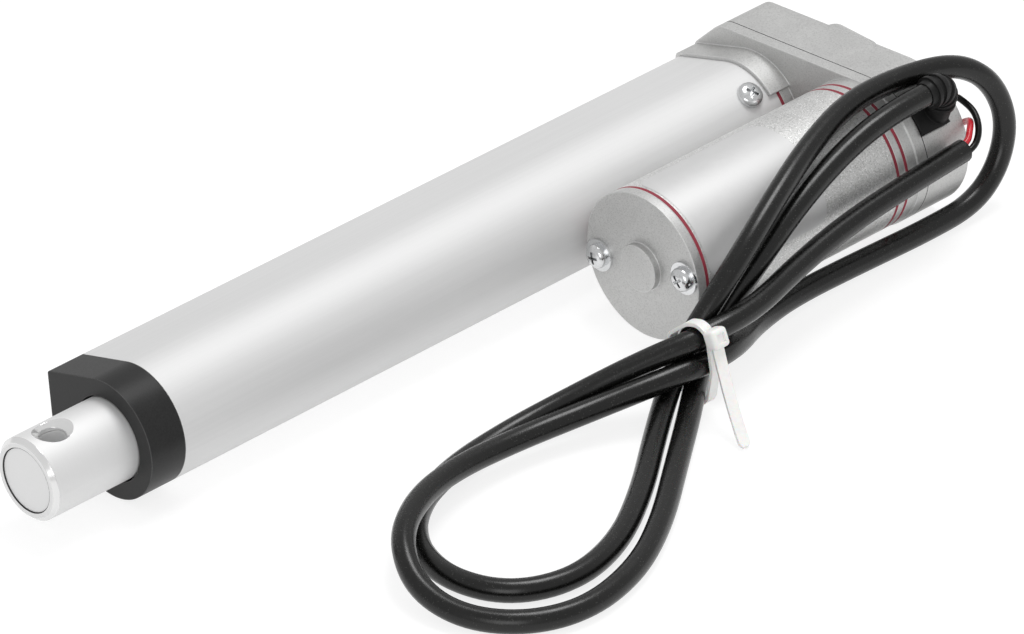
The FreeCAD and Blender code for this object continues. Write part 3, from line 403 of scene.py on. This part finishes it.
def core_plates():
    # Stacked electrical sheet: dark grey, with a line at every second joint so that the lines stay apart.
    core = grained("core_plates", linear("#6F7073"), metallic=1.0, rough=(0.35, 0.5), grain_mm=0.4,
                   spread=0.15, stretch=(1, 0.1, 0.1), height_mm=0.02, rounding_mm=0.05)
    tree = core.tree
    along = put(tree, "ShaderNodeSeparateXYZ", {0: core.place})
    step = put(tree, "ShaderNodeMath", {0: along, 1: SHEET_THICK * MM}, operation="PINGPONG")
    line = put(tree, "ShaderNodeMapRange",
               {"Value": step, "From Min": JOINT_ENDS * MM, "From Max": JOINT_IS_FULL * MM})
    lined = put(tree, "ShaderNodeMix", {0: line, COLOUR_A: core.tint, COLOUR_B: linear("#38393B")},
                out=COLOUR_OUT, data_type="RGBA")
    tree.links.new(lined, core.shader.inputs["Base Color"])
    return core.material


def sintered_ferrite():
    # Sintered ferrite, ground on its faces: charcoal with a mottled grain 0.5 mm wide.
    return grained("sintered_ferrite", linear("#3C3D40"), metallic=0.1, rough=(0.45, 0.65), grain_mm=0.5,
                   spread=0.3, height_mm=0.02, rounding_mm=0.2).material


def winding_copper():
    # Enamelled copper wire: reddish gold, in bands 0.4 mm wide across the shaft.
    return grained("winding_copper", linear("#C77A4A"), metallic=1.0, rough=(0.22, 0.36), grain_mm=0.4,
                   spread=0.2, stretch=(1, 0.2, 0.2), height_mm=0.05, rounding_mm=0.1).material


def sintered_bronze():
    # Oil-filled sintered bronze: brownish gold and dull, with pores drawn 0.35 mm wide so that they show.
    return grained("sintered_bronze", linear("#B08B57"), metallic=1.0, rough=(0.4, 0.58), grain_mm=0.35,
                   spread=0.22, height_mm=0.02, rounding_mm=0.1).material


def brush_carbon():
    # Pressed carbon and copper: near black with a faint metallic gleam.
    return grained("brush_carbon", linear("#2C2B2B"), metallic=0.2, rough=(0.4, 0.6), grain_mm=0.4,
                   spread=0.35, height_mm=0.015, rounding_mm=0.1).material


def board_solder_mask():
    # Glass-epoxy board under green solder mask: glossy, with a faint 0.7 mm mottle from the glass cloth.
    return grained("board_solder_mask", linear("#2A6B45"), rough=(0.25, 0.36), grain_mm=0.7, spread=0.16,
                   height_mm=0.008, rounding_mm=0.05).material


FINISHES = {
    "anodised_tube": anodised_aluminium, "rod_aluminium": turned_aluminium, "die_cast": die_cast_aluminium,
    "silver_paint": sand_silver_paint, "red_gasket": gasket_fibre, "plated_screw": zinc_plated_steel,
    "black_nylon": moulded_nylon, "black_rubber": boot_rubber, "seal_rubber": boot_rubber,
    "cable_jacket": cable_vinyl, "red_insulation": red_wire_vinyl, "black_insulation": black_wire_vinyl,
    "white_nylon": tie_nylon, "acetal": acetal, "steel": turned_steel, "core_steel": core_plates,
    "ferrite": sintered_ferrite, "copper": winding_copper, "bronze": sintered_bronze,
    "carbon": brush_carbon, "board_green": board_solder_mask, "switch_black": moulded_nylon,
}
made_finishes = {}


def finish_for(slot):
    """The material of a slot, made once."""
    maker = FINISHES[slot]
    if maker not in made_finishes:
        made_finishes[maker] = maker()
    return made_finishes[maker]


def dress(piece, slot, finish=None):
    """Gives a new piece its slot's finish, or one of its own, and fixes it to the frame."""
    piece.data.materials.append(finish or finish_for(slot))
    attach(piece, "frame")
    return piece


def placed(name, data):
    """A new object at the origin of the scene."""
    made = bpy.data.objects.new(name, data)
    bpy.context.collection.objects.link(made)
    return made


def piece_from(shape, name):
    """A piece made from a bmesh, smooth except at its sharp edges."""
    mesh = bpy.data.meshes.new(name)
    shape.to_mesh(mesh)
    shape.free()
    mesh.shade_smooth()
    mesh.set_sharp_from_angle(angle=math.radians(SHARP_ANGLE))
    return placed(name, mesh)


# The stage in metres and watts: the camera of the photograph, and each lamp's name, place, side and power.
CAMERA_PLACE = (1.24663, 1.19110, 1.03354)
CAMERA_WAY = (-0.582, -0.6085, -0.5396)
SENSOR_WIDTH_MM = 36
LAMPS = (
    ("overhead_softbox", (-0.4, -0.1, 1.7), 0.7, 13.0),
    ("side_softbox", (1.5, 1.2, 0.8), 1.0, 7.0),
)
LAMPS_AIM = (0.1, 0.03, 0)
ROOM_LIGHT = 0.66
PAPER_GLOW = 0.8
FLOOR_GAP_MM = 0.2
WHITE = (1, 1, 1, 1)


def turned_to(way):
    """The rotation of a camera or lamp that looks a given way."""
    return Vector(way).to_track_quat("-Z", "Y").to_euler()


def studio_paper():
    # White paper sweep: matt, with a pale shadow, and whiter to the eye and in reflections than it is lit.
    made, tree, shader = blank_material("studio_paper")
    shader.inputs["Roughness"].default_value = 0.9
    shader.inputs["Specular IOR Level"].default_value = 0.0
    shader.inputs["Emission Color"].default_value = WHITE
    rays = put(tree, "ShaderNodeLightPath").node.outputs
    seen = put(tree, "ShaderNodeMath", {0: rays["Is Camera Ray"], 1: rays["Is Glossy Ray"]},
               operation="MAXIMUM")
    seen = put(tree, "ShaderNodeMath", {0: seen, 1: rays["Is Transmission Ray"]}, operation="MAXIMUM")
    paper = put(tree, "ShaderNodeMix", {0: seen, COLOUR_A: linear("#F4F4F4"), COLOUR_B: linear("#8E8E8E")},
                out=COLOUR_OUT, data_type="RGBA")
    tree.links.new(paper, shader.inputs["Base Color"])
    glow = put(tree, "ShaderNodeMath", {0: seen, 1: PAPER_GLOW}, operation="MULTIPLY")
    tree.links.new(glow, shader.inputs["Emission Strength"])
    return made


class ACTUATOR_OT_stage(bpy.types.Operator):
    """Sets the camera, the floor and the light"""
    bl_idname = "actuator.stage"
    bl_label = "Stage"

    def execute(self, context):
        scene, sizes = context.scene, context.scene.actuator_sizes
        scene.view_settings.view_transform = "Standard"
        eye = bpy.data.cameras.new("photo_camera")
        eye.lens = sizes.lens
        eye.sensor_width = SENSOR_WIDTH_MM
        scene.camera = placed("photo_camera", eye)
        scene.camera.location = CAMERA_PLACE
        scene.camera.rotation_euler = turned_to(CAMERA_WAY)

        ground = bmesh.new()
        bmesh.ops.create_grid(ground, x_segments=1, y_segments=1, size=sizes.floor_span / 2,
                              matrix=Matrix.Translation((0, 0, (FLOOR - FLOOR_GAP_MM) * MM)))
        floor = piece_from(ground, "studio_floor")
        floor.data.materials.append(studio_paper())

        scene.world = bpy.data.worlds.new("studio_room")
        scene.world.use_nodes = True
        room = scene.world.node_tree.nodes["Background"]
        room.inputs["Color"].default_value = WHITE
        room.inputs["Strength"].default_value = ROOM_LIGHT
        for name, place, side, power in LAMPS:
            lamp = bpy.data.lights.new(name, "AREA")
            lamp.shape = "SQUARE"
            lamp.size = side
            lamp.energy = power
            light = placed(name, lamp)
            light.location = place
            light.rotation_euler = turned_to(Vector(LAMPS_AIM) - Vector(place))
        return {"FINISHED"}


# The tie in millimetres and degrees: the strands in its band, by Y and Z, then its head and its tail.
TIE_STRANDS = [(62.5, 1.8), (63.8, 2.3), (65, -3.9), (64, -10.3), (61.5, -9.7), (58.9, -5.1), (58.6, -1.8)]
TIE_X = 110
TIE_REACH = 4.2
TIE_THICK = 0.9
TIE_WIDTH = 2.6
TIE_HEAD = (4.7, 3.8, 4.7)
TIE_HEAD_FOOT = (TIE_X, 67.24, 3.91)
TIE_HEAD_LEAN = 25
TIE_HEAD_ROUNDING = 0.95
TIE_SLOT_RIM = 0.45
TIE_SLOT_TAPER = 0.1
TIE_SLOT_DEPTH = 0.5
TIE_TAIL = ((TIE_X, 69.24, 3.91), (116.5, 85.3, FLOOR + 1))
TIE_TAIL_WIDTH = 2.7
TIE_TAIL_SAG = 1.6

# The share of the tail's length at which its tip begins, and the share of the width that the tip loses.
TIE_TIP_BEGINS = 0.93
TIE_TIP_LOSS = 0.5


def tie_band():
    """A flat loop pulled tight round the strands."""
    shape = bmesh.new()
    upright = Matrix.Rotation(math.pi / 2, 4, "Y")
    for y, z in TIE_STRANDS:
        for side in (-0.5, 0.5):
            place = Matrix.Translation(Vector((TIE_X + side * TIE_WIDTH, y, z)) * MM)
            bmesh.ops.create_circle(shape, segments=48, radius=TIE_REACH * MM, matrix=place @ upright)
    bmesh.ops.convex_hull(shape, input=shape.verts[:])
    # The hull's two ends, which face along X, are taken off, so that only the loop is left.
    shape.normal_update()
    ends = [face for face in shape.faces if abs(face.normal.x) > 0.9]
    bmesh.ops.delete(shape, geom=ends, context="FACES_ONLY")
    bmesh.ops.delete(shape, geom=[e for e in shape.edges if not e.link_faces], context="EDGES")
    bmesh.ops.delete(shape, geom=[v for v in shape.verts if not v.link_faces], context="VERTS")
    bmesh.ops.recalc_face_normals(shape, faces=shape.faces)
    bmesh.ops.solidify(shape, geom=shape.faces[:], thickness=TIE_THICK * MM)
    return shape


def tie_head():
    """A block with round edges and the tail's slot in its outer face."""
    shape = bmesh.new()
    block = bmesh.ops.create_cube(shape, size=1)["verts"]
    bmesh.ops.scale(shape, verts=block, vec=Vector(TIE_HEAD) * MM)
    bmesh.ops.bevel(shape, geom=shape.edges[:], offset=TIE_HEAD_ROUNDING * MM, offset_type="OFFSET",
                    affect="EDGES", segments=4, profile=0.5, material=-1)
    outer = max(shape.faces, key=lambda face: face.calc_center_median().y)
    bmesh.ops.inset_region(shape, faces=[outer], thickness=TIE_SLOT_RIM * MM)
    bmesh.ops.inset_region(shape, faces=[outer], thickness=TIE_SLOT_TAPER * MM, depth=-TIE_SLOT_DEPTH * MM)
    bmesh.ops.translate(shape, verts=shape.verts, vec=(0, TIE_HEAD[1] / 2 * MM, 0))
    bmesh.ops.rotate(shape, verts=shape.verts, matrix=Matrix.Rotation(math.radians(TIE_HEAD_LEAN), 3, "X"))
    bmesh.ops.translate(shape, verts=shape.verts, vec=Vector(TIE_HEAD_FOOT) * MM)
    return shape


def tie_tail():
    """A flat strip that sags from the head to the floor and narrows to a blunt tip."""
    shape = bmesh.new()
    bmesh.ops.create_grid(shape, x_segments=40, y_segments=6, size=1)
    start, end = (Vector(point) * MM for point in TIE_TAIL)
    across = Vector((0, 0, 1)).cross(end - start).normalized()
    for corner in shape.verts:
        run, side = (corner.co.x + 1) / 2, corner.co.y
        into_tip = max(0, (run - TIE_TIP_BEGINS) / (1 - TIE_TIP_BEGINS))
        narrowing = 1 - TIE_TIP_LOSS * into_tip ** 2
        sag = Vector((0, 0, 4 * TIE_TAIL_SAG * MM * run * (1 - run)))
        corner.co = start.lerp(end, run) - sag + across * side * narrowing * TIE_TAIL_WIDTH / 2 * MM
    shape.normal_update()
    bmesh.ops.solidify(shape, geom=shape.faces[:], thickness=TIE_THICK * MM)
    return shape


class ACTUATOR_OT_tie(bpy.types.Operator):
    """Ties the cable's strands together"""
    bl_idname = "actuator.tie"
    bl_label = "Cable tie"

    def execute(self, context):
        whole = bmesh.new()
        for shape in (tie_band(), tie_head(), tie_tail()):
            part = bpy.data.meshes.new("tie_part")
            shape.to_mesh(part)
            shape.free()
            whole.from_mesh(part)
            bpy.data.meshes.remove(part)
        piece = dress(piece_from(whole, "nylon_tie"), "white_nylon")
        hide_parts("cable_tie")
        return {"FINISHED"}


# The cable's route in millimetres: from the boot, twice round the front loop and once round the gearbox.
CABLE_ROUTE = [
    (24.65, 50.71, 24.68), (36, 50.75, 24.7), (52, 51, 20.8), (69, 53.4, 15), (83, 55.8, 8),
    (95, 55.8, -1.4), (105, 58.8, -8.8), (118, 69, -11.4), (134, 81, ON_FLOOR), (153, 95.5, ON_FLOOR),
    (170, 105, ON_FLOOR), (188, 108.5, ON_FLOOR), (202, 103.5, ON_FLOOR), (210.5, 92, -11.8),
    (212, 79, -9.6), (206, 67.5, -5.4), (193, 59, -5.2), (176, 53.2, -7.6), (156, 52.8, -9),
    (138, 57, -7.6), (121, 63.8, -3.9), (108, 65.5, -3.8), (97, 62.6, -6), (82, 53.6, -10.9),
    (66, 50.2, ON_FLOOR), (46, 50.7, ON_FLOOR), (24, 51.8, ON_FLOOR), (7.5, 51.4, -11.7), (-1.6, 50.8, -5),
    (-5.1, 49.6, 5.8), (-1.6, 47, 16.6), (7.5, 44.2, 23.4), (22, 41.6, 25), (40, 41.8, 25.7),
    (58, 46.8, 24), (75, 53.1, 20.6), (90, 57.8, 14.6), (101, 58.8, 6), (109.5, 58.3, -3), (117, 61, -9.6),
    (130, 70, -11.7), (148, 84, ON_FLOOR), (166, 95, ON_FLOOR), (183, 98.5, ON_FLOOR),
    (197, 92.5, ON_FLOOR), (202.5, 79, ON_FLOOR), (199, 65, ON_FLOOR), (188, 53.8, ON_FLOOR),
    (172, 48, ON_FLOOR), (154, 46.8, -11.2), (138, 50.4, -7.8), (123, 57.2, -1.9), (108.5, 64.3, 2.7),
    (93, 64.4, 3.2), (76, 60.4, 4.6), (58, 57.9, 6.6), (38, 57, 8.2), (17, 56.5, 9.2),
]
RED_ROUTE = [(16.95, 55.9, 9.9), (14.7, 55.7, 10.3), (12.6, 54.2, 11.6), (10.3, 52.3, 12.2), (8.5, 50, 11),
             (7.7, 47.6, 9)]
BLACK_ROUTE = [(16.95, 57.2, 8.7), (14.5, 57.2, 9.0), (12.0, 56.4, 10.5), (10.0, 54.6, 12.4),
               (8.6, 51.9, 13.9), (7.9, 48.7, 14.6), (7.5, 45.5, 14.7)]

# The bare strands, six round one: the radius as a share of the lead's diameter, the tip's radius and the
# way aside as shares of that, the millimetres in the insulation, and the leans in degrees, taken in turn.
STRANDS_ROUND = 6
STRAND_RADIUS = 1 / 8
STRAND_TIP_RADIUS = 0.9
STRAND_ASIDE = 2.1
STRAND_INSIDE = 0.2
STRAND_LEANS = (3, 5, 7)


def cord_along(name, route, diameter):
    """A round cord on one smooth line that its route's points guide, and that line's length."""
    curve = bpy.data.curves.new(name, "CURVE")
    curve.dimensions = "3D"
    line = curve.splines.new("NURBS")
    line.points.add(len(route) - 1)
    for point, place in zip(line.points, route):
        point.co = (place[0] * MM, place[1] * MM, place[2] * MM, 1)
    line.order_u = 3
    line.use_endpoint_u = True
    line.resolution_u = 8
    length = line.calc_length()
    curve.bevel_depth = diameter / 2
    curve.bevel_resolution = 5
    curve.use_fill_caps = True
    return placed(name, curve), length


def stripped_end(name, route, sizes):
    """Fine wires that stand a little apart at a lead's end."""
    end, before = (Vector(p) * MM for p in (route[-1], route[-2]))
    turn = (end - before).normalized().to_track_quat("Z", "Y").to_matrix().to_4x4()
    radius = sizes.lead * STRAND_RADIUS
    out = sizes.stripped / 2 - STRAND_INSIDE * MM
    shape = bmesh.new()
    for n in range(STRANDS_ROUND + 1):
        in_middle = n == 0
        aside = Matrix.Translation((0 if in_middle else radius * STRAND_ASIDE, 0, out))
        tilt = 0 if in_middle else math.radians(STRAND_LEANS[n % len(STRAND_LEANS)])
        lean = Matrix.Rotation(tilt, 4, "Y")
        round_it = Matrix.Rotation(n * 2 * math.pi / STRANDS_ROUND, 4, "Z")
        spot = Matrix.Translation(end) @ turn @ round_it @ lean @ aside
        bmesh.ops.create_cone(shape, cap_ends=True, segments=8, radius1=radius,
                              radius2=radius * STRAND_TIP_RADIUS, depth=sizes.stripped, matrix=spot)
    return piece_from(shape, name)


class ACTUATOR_OT_cable(bpy.types.Operator):
    """Lays the cable and its two leads with their stripped ends"""
    bl_idname = "actuator.cable"
    bl_label = "Cable and leads"

    def execute(self, context):
        sizes = context.scene.actuator_sizes
        on_cable = [bpy.data.objects["nylon_tie"]]
        for colour, route in (("red", RED_ROUTE), ("black", BLACK_ROUTE)):
            lead, _ = cord_along(f"{colour}_wire", route, sizes.lead)
            dress(lead, f"{colour}_insulation")
            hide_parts(f"{colour}_lead")
            strands = stripped_end(f"{colour}_wire_strands", route, sizes)
            dress(strands, "copper")
            on_cable += [lead, strands]
        cable, length = cord_along("cable_run", CABLE_ROUTE, sizes.cable)
        dress(cable, "cable_jacket")
        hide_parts("power_cable")
        return {"FINISHED"}


# A pan head's outline, as shares of its height and of its radius, from its foot to its top.
PAN_OUTLINE = [(0, 1.0), (0.30, 1.0), (0.62, 0.93), (0.84, 0.76), (0.96, 0.5), (1.0, 0.22), (1.0, 0.0)]

# A cross recess's wings, as shares of the head's height and then of its radius.
WING_DEPTH, WING_MIDDLE = 0.9, 0.82
WING_LENGTH, WING_THICK = 1.22, 0.25
# What is left of a wing's length and thickness at its bottom.
WING_END_LENGTH, WING_END_THICK = 0.62, 0.75

# How far each screw of a set is turned, in radians, so that their recesses don't line up.
FIRST_TURN, NEXT_TURN = 0.7, 1.1

# Where the screws stand, in millimetres and radians.
BOLT_X = 100.0
BOLT_CIRCLE = 14.05
BOLT_TURN = math.radians(12.8)
COVER_SCREW_X = 11.38
COVER_SCREWS_YZ = ((-13.0, 10.6), (27.0, 18.0), (49.2, 0.0), (26.0, -11.4))
TUBE_SCREW_X = 38.8
TUBE_SCREW_REACH = 14.5
TUBE_SCREW_TURN = math.radians(55.3)

# The screws' sizes in millimetres, the first two of the head.
ScrewSize = namedtuple("ScrewSize", "radius height shank_radius shank_length")
MOTOR_BOLT = ScrewSize(2.9, 2.1, 1.45, 9)
COVER_SCREW = ScrewSize(2.5, 1.6, 1.25, 15)
TUBE_SCREW = ScrewSize(3.2, 2.0, 1.45, 3)


def pan_head(radius, height):
    """A pan head along +X, standing on x = 0."""
    shape = bmesh.new()
    corners = [shape.verts.new((along * height, 0, out * radius)) for along, out in PAN_OUTLINE]
    edges = [shape.edges.new(pair) for pair in zip(corners, corners[1:])]
    bmesh.ops.spin(shape, geom=corners + edges, cent=(0, 0, 0), axis=(1, 0, 0), angle=2 * math.pi,
                   steps=40, use_merge=True)
    bmesh.ops.remove_doubles(shape, verts=shape.verts, dist=0.001 * MM)
    bmesh.ops.holes_fill(shape, edges=[e for e in shape.edges if e.is_boundary])
    bmesh.ops.recalc_face_normals(shape, faces=shape.faces)
    return piece_from(shape, "screw_head_blank")


def cross_wings(radius, height):
    """Two crossed wings that narrow into a pan head along +X."""
    shape = bmesh.new()
    for turn in (0, 90):
        wing = bmesh.ops.create_cube(shape, size=1)["verts"]
        for corner in wing:
            if corner.co.x < 0:
                corner.co.y *= WING_END_LENGTH
                corner.co.z *= WING_END_THICK
        bmesh.ops.scale(shape, verts=wing,
                        vec=(height * WING_DEPTH, radius * WING_LENGTH, radius * WING_THICK))
        bmesh.ops.translate(shape, verts=wing, vec=(height * WING_MIDDLE, 0, 0))
        bmesh.ops.rotate(shape, verts=wing, matrix=Matrix.Rotation(math.radians(turn), 3, "X"))
    return piece_from(shape, "screw_cross")


def recessed_head(radius, height):
    """The mesh of a pan head with a cross recess."""
    head, cutter = pan_head(radius, height), cross_wings(radius, height)
    cut = head.modifiers.new("recess", "BOOLEAN")
    cut.operation = "DIFFERENCE"
    cut.solver = "EXACT"
    cut.use_self = True
    cut.object = cutter
    graph = bpy.context.evaluated_depsgraph_get()
    graph.update()
    mesh = bpy.data.meshes.new_from_object(head.evaluated_get(graph))
    for used in (head, cutter):
        bpy.data.objects.remove(used)
    return mesh


def screws(name, places, size):
    """Like screws, each set on a point with its head standing out along an axis."""
    template = recessed_head(size.radius * MM, size.height * MM)
    sunk = Matrix.Translation((-size.shank_length / 2 * MM, 0, 0)) @ Matrix.Rotation(math.pi / 2, 4, "Y")
    shape = bmesh.new()
    for number, (point, axis) in enumerate(places):
        stand = Vector(axis).to_track_quat("X", "Z").to_matrix().to_4x4()
        turn = Matrix.Rotation(FIRST_TURN + number * NEXT_TURN, 4, "X")
        spot = Matrix.Translation(Vector(point) * MM) @ stand @ turn
        head = template.copy()
        head.transform(spot)
        shape.from_mesh(head)
        bpy.data.meshes.remove(head)
        bmesh.ops.create_cone(shape, cap_ends=True, segments=24, radius1=size.shank_radius * MM,
                              radius2=size.shank_radius * MM, depth=size.shank_length * MM,
                              matrix=spot @ sunk)
    bpy.data.meshes.remove(template)
    return piece_from(shape, name)


class ACTUATOR_OT_screws(bpy.types.Operator):
    """Puts in the screws with cross recesses"""
    bl_idname = "actuator.screws"
    bl_label = "Screws"

    def execute(self, context):
        across, up = BOLT_CIRCLE * math.cos(BOLT_TURN), BOLT_CIRCLE * math.sin(BOLT_TURN)
        bolts = [((BOLT_X, MOTOR_AXIS[0] + side * across, MOTOR_AXIS[1] + side * up), (1, 0, 0))
                 for side in (1, -1)]
        rear = [((COVER_SCREW_X, y, z), (-1, 0, 0)) for y, z in COVER_SCREWS_YZ]
        out = Vector((0, math.cos(TUBE_SCREW_TURN), math.sin(TUBE_SCREW_TURN)))
        on_tube = [(Vector((TUBE_SCREW_X, 0, 0)) + out * TUBE_SCREW_REACH, out)]
        for name, node, places, size in (("motor_screws", "motor_bolts", bolts, MOTOR_BOLT),
                                         ("rear_cover_screws", "cover_screws", rear, COVER_SCREW),
                                         ("tube_fixing_screw", "tube_screw", on_tube, TUBE_SCREW)):
            piece = dress(screws(name, places, size), "plated_screw")
            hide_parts(node)
        return {"FINISHED"}


# The label in millimetres and radians: its ends along and round the motor, its lift and its thickness.
LABEL_REAR, LABEL_FRONT = 57.3, 95.3
LABEL_LOW, LABEL_HIGH = math.radians(6.5), math.radians(112)
LABEL_LIFT = 0.02
LABEL_THICK = 0.06
# The number of flat strips that it is bent in.
LABEL_STRIPS = 48


class ACTUATOR_OT_label(bpy.types.Operator):
    """Wraps a blank foil label round the motor"""
    bl_idname = "actuator.label"
    bl_label = "Blank label"

    def execute(self, context):
        radius = (MOTOR_RADIUS + LABEL_LIFT) * MM
        rear, front, low, high = LABEL_REAR * MM, LABEL_FRONT * MM, LABEL_LOW * radius, LABEL_HIGH * radius
        shape = bmesh.new()
        outline = ((rear, low), (front, low), (front, high), (rear, high))
        corners = [shape.verts.new((x, y, 0)) for x, y in outline]
        shape.faces.new(corners)
        bmesh.ops.bevel(shape, geom=corners, offset=context.scene.actuator_sizes.label_corner,
                        offset_type="OFFSET", affect="VERTICES", segments=6, profile=0.5, material=-1)
        for n in range(1, LABEL_STRIPS):
            cut = low + (high - low) * n / LABEL_STRIPS
            bmesh.ops.bisect_plane(shape, geom=shape.verts[:] + shape.edges[:] + shape.faces[:], dist=1e-7,
                                   plane_co=(0, cut, 0), plane_no=(0, 1, 0))
        for corner in shape.verts:
            turn = corner.co.y / radius
            corner.co.y = MOTOR_AXIS[0] * MM + radius * math.cos(turn)
            corner.co.z = MOTOR_AXIS[1] * MM + radius * math.sin(turn)
        bmesh.ops.recalc_face_normals(shape, faces=shape.faces)
        if sum(face.normal.z for face in shape.faces) < 0:
            bmesh.ops.reverse_faces(shape, faces=shape.faces)
        bmesh.ops.solidify(shape, geom=shape.faces[:], thickness=-LABEL_THICK * MM)
        dress(piece_from(shape, "blank_label"), "silver_paint", polyester_foil())
        return {"FINISHED"}


class ACTUATOR_OT_finishes(bpy.types.Operator):
    """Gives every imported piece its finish"""
    bl_idname = "actuator.finishes"
    bl_label = "Finishes"

    def execute(self, context):
        for subpart in frame["record"]["subparts"]:
            node = frame["nodes"][subpart["node"]]
            finish = finish_for(subpart["material_slot"])
            if not node.material_slots:
                node.data.materials.append(finish)
            for place in node.material_slots:
                place.material = finish
        return {"FINISHED"}


class ACTUATOR_PT_panel(bpy.types.Panel):
    """Lists the steps and the values that they use"""
    bl_label = "Linear actuator"
    bl_idname = "ACTUATOR_PT_panel"
    bl_space_type = "VIEW_3D"
    bl_region_type = "UI"
    bl_category = "Actuator"

    def draw(self, context):
        for step in STEPS:
            self.layout.operator(step.bl_idname)
        for group in (context.scene.actuator_sizes, context.scene.actuator_colours):
            for name in group.__annotations__:
                self.layout.prop(group, name)


STEPS = (ACTUATOR_OT_stage, ACTUATOR_OT_tie, ACTUATOR_OT_cable, ACTUATOR_OT_screws, ACTUATOR_OT_label,
         ACTUATOR_OT_finishes)
CLASSES = (ActuatorColours, ActuatorSizes) + STEPS + (ACTUATOR_PT_panel,)


def register():
    for each in CLASSES:
        bpy.utils.register_class(each)
    bpy.types.Scene.actuator_colours = bpy.props.PointerProperty(type=ActuatorColours)
    bpy.types.Scene.actuator_sizes = bpy.props.PointerProperty(type=ActuatorSizes)


def unregister():
    del bpy.types.Scene.actuator_sizes
    del bpy.types.Scene.actuator_colours
    for each in reversed(CLASSES):
        bpy.utils.unregister_class(each)


def main():
    register()
    bpy.ops.actuator.stage()
    bpy.ops.actuator.tie()
    bpy.ops.actuator.cable()
    bpy.ops.actuator.screws()
    bpy.ops.actuator.label()
    bpy.ops.actuator.finishes()


if __name__ == "__main__":
    main()
